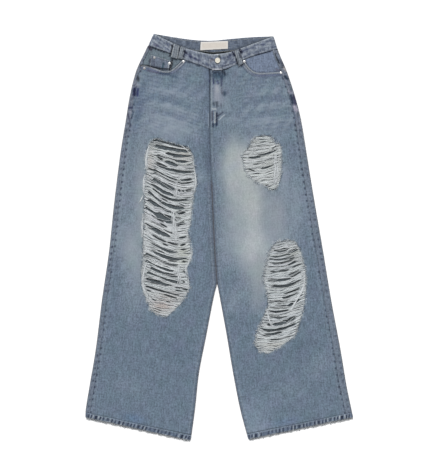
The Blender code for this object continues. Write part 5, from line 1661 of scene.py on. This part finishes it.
def outer_face_wash(x, y, along, around, ridge, front):
    """Wash of the band's outer face: a coarse mottle, pale ridges and dark valleys, rubbed pale along the
    upper edge, with a row of dark dashes over the lower sewn line, a painted shadow along its foot and
    painted shadow beside the belt loops."""
    colour = np.broadcast_to(srgb("77818f"), (len(x), 3))
    height = around * BAND_DEPTH
    mottle = 1.3 * waves(along + 0.9 * height, 2.2 * height, 26, 85)
    colour = layered(
        colour,
        ("aeb5bf", 0.8 * np.clip(mottle, 0, 1)),
        ("3c4460", 0.8 * np.clip(-mottle - 0.05, 0, 1)),
        ("2f3850", 0.5 * np.clip(-ridge - 0.2, 0, 1)),
        ("b2bac0", 0.45 * np.clip(ridge, 0, 1)),
        ("b4bcc4", 0.6 * bell(around, 0.03, 0.05)),
        ("49526a", 0.4 * bell(around, 0.25, 0.06)),
        ("a2aab4", 0.35 * bell(around, 0.54, 0.07)),
        ("a2aab4", 0.2 * bell(around, 0.9, 0.04)))
    dashes = np.clip(rope(along + 0.6 * height, 10.5, 83) + 0.1, 0, 1)
    right_part = 1 - smooth_step(x, -30, 20)
    loop_shadow = contact_shadow(x, y, LOOP_SHADOWS) * front
    colour = layered(
        colour,
        ("283050", 0.85 * dashes * bell(around, 0.77, 0.055)),
        # painted shadow along the band's foot, and beside the belt loops
        (PAINTED_SHADE, (0.25 + 0.4 * right_part) * bell(around, 0.985, 0.025)),
        (PAINTED_SHADE, np.clip(1.7 * loop_shadow, 0, 0.95)))
    return np.where(front[:, None], brushed_and_shaded(colour.copy(), x, y), colour)


def inner_face_wash(x, y, along, around):
    """Wash of the band's inner face: duller, with dark and pale flecks, and a painted shadow, nearly black,
    in the slot between the label and the front of the band."""
    colour = np.broadcast_to(srgb("727d8d"), (len(x), 3))
    flecks = waves(along * 0.7, around * 60, 15, 88)
    gap = distance(x, y, curve_through(BAND_FRONT_TOP, 6), closed=False)
    slot = bell(gap, 0, 6, 4) * bell(x, -9, 40, 4)
    return layered(
        colour,
        ("535d6d", 0.5 + 0.8 * waves(along, around * 40, 26, 87)),
        ("36405c", 0.9 * np.clip(flecks - 0.2, 0, 1)),
        ("98a0ac", 0.8 * np.clip(-flecks - 0.3, 0, 1)),
        # painted shadow in the slot under the label and along the front's top edge
        ("121512", 0.95 * slot + 0.25 * bell(gap, 0, 4)))


def make_waistband():
    """Waistband: a closed section, thick in the middle and rounded at both edges, carried along the path,
    puckered at its two sewn lines."""
    top, foot, level, side_way, up_way = band_stations()
    along = arc_length((top + foot) / 2)
    down = np.concatenate([[0, 0.02, 0.055], np.linspace(0.11, 0.89, 10), [0.945, 0.98, 1]])
    around = np.concatenate([down, down[::-1]])
    face = np.concatenate([np.ones(len(down)), -np.ones(len(down))])
    bulge = (1 - np.abs(2 * around - 1) ** 9) ** 0.5
    near_top, near_foot = bell(around, 0.1, 0.09), bell(around, 0.9, 0.09)
    slant = along[:, None] + 9 * around[None]
    ridge = rope(slant, 9, 81) * (near_top + near_foot)[None] + 0.6 * rope(slant, 13, 83) * (
        1 - near_top - near_foot)[None].clip(0)
    reach = (BAND_WALL / 2 - 0.25) * bulge * face + 0.28 * ridge * bulge * (face > 0)
    groove = sum(bell(around, sewn, 0.03) for sewn in BAND_SEWING)
    reach = reach - 0.25 * groove * face
    flat = top[:, None] + (foot - top)[:, None] * around[None, :, None]
    x = flat[..., 0] + reach * side_way[:, None]
    y = flat[..., 1]
    z = level[:, None] + reach * up_way[:, None]
    points = np.stack([x, y, z], axis=-1).reshape(-1, 3)
    x, y = points[:, 0], points[:, 1]
    along_all, around_all = np.repeat(along, len(around)), np.tile(around, len(along))
    outer = np.tile(face > 0, len(along))
    front = (up_way.repeat(len(around)) > 0.5) & outer
    colour = np.where(outer[:, None], outer_face_wash(x, y, along_all, around_all, ridge.ravel(), front),
                      inner_face_wash(x, y, along_all, around_all))
    rows, columns = reach.shape
    faces = grid_faces(rows, columns, wrap_columns=True)
    caps = [list(range(columns)), list(range((rows - 1) * columns, rows * columns))[::-1]]
    make_piece("waistband_cloth", points, faces[:, ::-1], DENIM, colour,
               np.column_stack([along_all, around_all * BAND_DEPTH]), caps=caps, node="waistband")


make_waistband()


# -------------------- belt loops

def make_loop(name, corners, base, thick, under=False):
    """Belt loop: a folded strip between four corners, arched off the cloth in the middle of its length, with
    a raised middle fold and rounded edges."""
    a, b, c, d = [np.array(p, float) for p in corners]
    u, v = np.meshgrid(np.linspace(0, 1, 34), np.linspace(0, 1, 13), indexing="ij")
    flat = ((a * (1 - u[..., None]) + d * u[..., None]) * (1 - v[..., None])
            + (b * (1 - u[..., None]) + c * u[..., None]) * v[..., None])
    edge = (1 - np.abs(2 * v - 1) ** 6) ** 0.5 * (1 - np.abs(2 * u - 1) ** 30) ** 0.5
    arch = 1.6 * np.sin(np.pi * u).clip(0) ** 0.6
    rib = 0.3 * bell(v, 0.5, 0.1) + 0.2 * rope(u * 46, 7, 91) * np.sin(np.pi * v)
    rise = thick * 0.7 * edge + (arch + rib) * edge
    z = base - thick * edge if under else base + rise
    top = np.concatenate([flat, z[..., None]], axis=-1)
    bottom = np.concatenate([flat, np.full(flat.shape[:2] + (1,), base)], axis=-1)
    x, y = flat[..., 0].ravel(), flat[..., 1].ravel()
    colour = np.broadcast_to(srgb("7a828b"), (len(x), 3)).copy()
    middle = bell(v, 0.5, 0.12).ravel()
    beside = (bell(v, 0.27, 0.07) + bell(v, 0.73, 0.07)).ravel()
    patches = rope(u * 46 + v * 5, 7.5, 93).ravel()
    colour = layered(
        colour,
        ("b2b8bc", 0.4 * middle * (0.6 + 0.4 * patches)),
        ("3f4a5c", 0.5 * beside * (0.6 - 0.6 * patches)),
        ("c4cacc", 0.8 * bell(v.ravel() * (1 - v.ravel()), 0, 0.1)))
    # painted shadow where each end of the loop bends down to the cloth
    ends = bell(u.ravel(), 0, 0.05) + bell(u.ravel(), 1, 0.05)
    colour = toned(colour, "333a46", 0.5 * ends)
    rows, columns = u.shape
    faces = grid_faces(rows, columns)
    rim = np.concatenate([np.arange(columns), np.arange(2, rows) * columns - 1,
                          np.arange(rows * columns - 1, (rows - 1) * columns - 1, -1),
                          np.arange(rows - 2, 0, -1) * columns])
    count = rows * columns
    side_faces = np.column_stack([rim, np.roll(rim, -1), np.roll(rim, -1) + count, rim + count])
    points = np.vstack([top.reshape(-1, 3), bottom.reshape(-1, 3)])
    all_faces = np.vstack([faces[:, ::-1], faces + count, side_faces])
    if under:
        all_faces = all_faces[:, ::-1]
    else:
        colour = brushed_and_shaded(colour, x, y)
    make_piece(name + "_cloth", points, all_faces, DENIM, np.vstack([colour, colour]), points[:, :2],
               node=name)


LOOP_WIDTH, LOOP_LENGTH, LOOP_WALL = 13, 46, 1.5
FRONT_LOOP_BASE = BAND_FACE + LAYER_GAP
for name, corners in FRONT_LOOPS.items():
    make_loop(name, corners, FRONT_LOOP_BASE, LOOP_WALL)
for name, ((x, y), lean) in BACK_LOOPS.items():
    half = LOOP_WIDTH / 2
    make_loop(name, ((x - half, y), (x + half, y), (x + lean + half, y - LOOP_LENGTH),
                     (x + lean - half, y - LOOP_LENGTH)), LOOP_WALL, LOOP_WALL, under=True)


# -------------------- label, button and rivets

def make_label():
    """Bare woven label: a thin strip with a turned border, slightly cockled between its corner stitches."""
    loop = even_ring(LABEL_CORNERS, 1.5)
    base = SEAT_RISE + BAND_WALL + LAYER_GAP + LABEL_WALL

    def height(x, y):
        gap = distance(x, y, loop)
        border = bell(gap, 1.6, 1.2)
        return base + 0.1 * waves(x, y, 34, 95) + 0.2 * border + 0.25 * smooth_step(gap, 0, 4)

    def wash(x, y):
        gap = distance(x, y, loop)
        colour = flat_wash(x, y, "ddd6cd", 0.012, 96)
        return toned(colour, "e9e7e3", 0.85 * bell(gap, 1.6, 2.2))

    make_patch("inside_label_cloth", loop, height, wash, "inside_label", step=1.2, wall=LABEL_WALL,
               material=LABEL)


def make_hardware():
    """Shank button with a dished face in a rolled rim, and domed rivets each with a small nipple."""
    base = band_front_height(TAB_END) + BAND_WALL / 2 + 0.1
    profile = ((2.6, 0), (2.6, 1), (5.6, 1.25), (6.6, 1.7), (7.05, 2.4), (7.05, 3), (6.7, 3.5), (6.1, 3.75),
               (5.5, 3.7), (5, 3.45), (4.4, 3.4), (3.2, 3.5), (2.4, 3.6), (1.4, 3.65), (0.5, 3.68))
    points, faces, caps = turned_grid(profile, BUTTON_CENTRE, base, 56)
    make_piece("button_cap", points, faces, BUTTON_PLATE, caps=caps, node="button")
    profile = ((3.3, 0), (3.65, 0.2), (3.6, 0.5), (3.2, 0.95), (2.4, 1.25), (1.8, 1.3), (1.5, 1.2),
               (1.3, 1.5), (0.9, 1.75), (0.3, 1.8))
    for name, centre in RIVETS.items():
        points, faces, caps = turned_grid(profile, centre, SEAT_RISE + 2 * SIDE_FOLD + 0.2, 32)
        plate = WORN_RIVET if name in ("rivet_right_side", "rivet_coin_outer") else RIVET_PLATE
        make_piece(name + "_cap", points, faces, plate, caps=caps, node=name)


make_label()
make_hardware()


# -------------------- sewn lines

CREAM, PALE, TONAL, BACK_CREAM = "c3c4c0", "aeb5ba", "8f99a5", "c3c6c4"


def sew_front():
    """Sewn lines that show from the front."""
    for side in LEVELS:
        out = OUTWARD[side]
        mouth = curve_through(POCKET_MOUTH[side], 2)
        runs = [front_run(side, shifted(mouth, -out * gap), 0.5) for gap in (1.4, 3.6)]
        stitches_piece("mouth_stitching_" + side, runs, CREAM, 0.36)
        runs = [front_run(side, shifted(mouth, -out * 10), 0.2)]
        inner = np.arange(INSEAM_FOOT, CROTCH, SEWING_STEP)
        reach = inner_x(side, inner) + out * 9
        runs.append(front_run(side, np.column_stack([reach, inner]), 0.1))
        stitches_piece("leg_stitching_" + side, runs, TONAL, 0.32)
    share = np.linspace(0.02, TAB_END, 200)
    tab_share = np.linspace(TAB_END + 0.012, 0.98, 200)
    runs = []
    for portion in (share, tab_share):
        top, foot = band_edge(BAND_FRONT_TOP, portion), band_edge(BAND_FRONT_FOOT, portion)
        raised = (BAND_WALL + LAYER_GAP) * (1 - smooth_step(portion, *TAB_DROP)) * (portion > TAB_END)
        for down in BAND_SEWING:
            runs.append(level_run(top + (foot - top) * down, BAND_FACE + raised - 0.2))
    stitches_piece("waistband_stitching", runs, PALE, 0.34)
    coin = np.array(COIN_POCKET, float)
    lines = [coin[[0, 1]] + (0.6, -2), coin[[1, 2]] + (-1.6, 0), coin[[0, 3]] + (1.6, 0)]
    stitches_piece("coin_pocket_stitching", [straight_run(line, COIN_TOP) for line in lines], PALE)
    runs = []
    for corners in FRONT_LOOPS.values():
        a, b, c, d = np.array(corners)
        for s in (0.18, 0.82):
            start, end = a + (b - a) * s, d + (c - d) * s
            line = even_steps(np.array([start, end]), 2)
            u = np.linspace(0, 1, len(line))
            runs.append(level_run(line, FRONT_LOOP_BASE + 1.1 + 0.9 * np.sin(np.pi * u) ** 0.6))
        for u in (0.06, 0.94):
            start = np.array([*(a + (d - a) * u), FRONT_LOOP_BASE + 1.25])
            end = np.array([*(b + (c - b) * u), FRONT_LOOP_BASE + 1.25])
            runs.append(bartack(start + (end - start) * 0.1, end - (end - start) * 0.1, 3))
    stitches_piece("belt_loop_stitching", runs, PALE, 0.3)


def sew_fly():
    """Fly: a stitched edge, the curved double line that holds the shield, and bar tacks."""
    edge = np.column_stack([np.full(70, FLY_EDGE + 5.2), np.linspace(446, 300, 70)])
    curve = curve_through(((12, 444), (11.5, 400), (12, 365), (13, 345), (11, 330), (4, 319),
                           (-6, 310), (-19, 303)), 2)
    stitches_piece("fly_edge_stitching", [front_run("left", edge, 0.15)], "b0b6b9", 0.34)
    runs = [front_run("left", line, 0.15) for line in (curve, shifted(curve, -6.5)[:-4])]
    stitches_piece("fly_stitching", runs, TONAL, 0.3)
    spots = ((-10.9, 334, -10.9, 314, 1.2), (-11.5, 311, -11.5, 305.5, 2.4))
    runs = []
    for x0, y0, x1, y1, width in spots:
        ends = on_front("left", np.array([(x0, y0), (x1, y1)]), 0.3)
        runs.append(bartack(ends[0], ends[1], width, 0.8))
    stitches_piece("fly_bar_tacks", runs, "bfc4c6", 0.34)
    seam = curve_through(((FLY_EDGE, 300), (-22, 250), (-19.6, 170)), 2)
    runs = [front_run("left", shifted(seam, d), 0.12) for d in (4, 7)]
    stitches_piece("crotch_stitching", runs, TONAL, 0.32)


def sew_hems():
    """Topstitch round the top of each hem, seen above and below."""
    for side in LEVELS:
        outer, inner, along, _ = row_frame(side, np.array([LEVELS[side][0][0]]))
        up = np.array([0, HEM_DEPTH * 0.8])
        start, end = outer[0] + up + along[0] * 4, inner[0] + up - along[0] * 4
        ends = np.array([start, end])
        runs = [straight_run(ends, 2 * HEM_FOLD + 0.1), straight_run(ends, 0.15, -0.35)]
        stitches_piece("hem_stitching_" + side, runs, "9ca6b0")


def sew_back():
    """Sewn lines of the hidden side: pockets, yokes, centre seam, inseams and the band."""
    for side in LEVELS:
        out = OUTWARD[side]
        loop = np.array(BACK_POCKETS[side])
        middle = loop.mean(axis=0)
        runs = []
        for inset in (2.5, 8.5):
            ring = middle + (loop - middle) * (1 - inset / 62)
            runs.append(straight_run(ring[[0, 4, 3, 2, 1]], 0.3, -0.35))
        for drop in (4, 14):
            runs.append(straight_run(loop[[0, 1]] + (0, -drop), 0.3, -0.35))
        heights = np.array([LEVELS[side][3][0] + 2])
        outer, inner, along, _ = row_frame(side, heights, back=True)
        for rise in (0, 5):
            ends = np.array([outer[0] + along[0] * 5, inner[0]]) + (0, rise)
            runs.append(straight_run(ends, SEAT_RISE + 0.1, -0.35))
        low = np.arange(INSEAM_FOOT, CROTCH, SEWING_STEP)
        for inset in (4, 9):
            line = np.column_stack([inner_x(side, low, True) + out * inset, low])
            runs.append(level_run(line, 0.2, sink=-0.3))
        stitches_piece("back_stitching_" + side, runs, BACK_CREAM, 0.42)
    rise = np.arange(CROTCH, 486, 2)
    runs = []
    for inset in (2.5, 7.5):
        line = np.column_stack([inner_x("left", rise, True) + inset, rise])
        runs.append(level_run(line, ground(rise) + 0.1, sink=-0.35))
    share = np.linspace(0.02, 0.98, 300)
    top, foot = band_edge(BAND_BACK_TOP, share), band_edge(BAND_BACK_FOOT, share)
    for down in BAND_SEWING:
        line = top + (foot - top) * down
        runs.append(level_run(line, SEAT_RISE + 0.05, sink=-0.35))
        runs.append(level_run(line, SEAT_RISE + BAND_WALL))
    stitches_piece("seat_stitching", runs, BACK_CREAM, 0.42)


sew_front()
sew_fly()
sew_hems()
sew_back()


# -------------------- stage, light and camera

SKY, KEY = 0.62, 3.1        # strengths of the white room and of its lamp
VIEW_HEIGHT = 1256          # how much of the table the camera takes in, waist to hem
VIEW_CENTRE = (-5.3, 2.65)
CAMERA_RISE = 5             # metres


def make_stage():
    """A plain white table under the jeans, in a white room with one wide soft lamp beyond the waist."""
    scene = bpy.context.scene
    scene.view_settings.view_transform = "Standard"
    mesh = bpy.data.meshes.new("floor")
    reach = 6
    mesh.from_pydata([(-reach, -reach, -0.0004), (reach, -reach, -0.0004), (reach, reach, -0.0004),
                      (-reach, reach, -0.0004)], [], [(0, 1, 2, 3)])
    # Matt white lacquer sprayed on board: an even pale ground with no shine
    lacquer, _, _ = new_material("white_table", {"Base Color": (0.92, 0.92, 0.92, 1), "Roughness": 0.9,
                                                 "Specular IOR Level": 0})
    mesh.materials.append(lacquer)
    put("floor", mesh)
    world = bpy.data.worlds.new("studio")
    world.use_nodes = True
    world.node_tree.nodes["Background"].inputs[0].default_value = (0.97, 0.98, 1, 1)
    world.node_tree.nodes["Background"].inputs[1].default_value = SKY
    scene.world = world
    light = bpy.data.lights.new("key", "SUN")
    light.energy = KEY
    light.angle = math.radians(32)
    light.color = (1, 0.99, 0.98)
    put("key", light).rotation_euler = (math.radians(-42), math.radians(-10), 0)


def make_camera():
    """A long lens straight above: its focal length is the sensor's width times its rise over the view."""
    camera = bpy.data.cameras.new("camera")
    camera.sensor_width = 36
    camera.sensor_fit = "AUTO"
    camera.lens = camera.sensor_width * CAMERA_RISE / (VIEW_HEIGHT * MM)
    camera.clip_end = 50
    holder = put("camera", camera)
    holder.location = ((VIEW_CENTRE[0] + ORIGIN_X) * MM, (VIEW_CENTRE[1] + ORIGIN_Y) * MM, CAMERA_RISE)
    bpy.context.scene.camera = holder


make_stage()
make_camera()
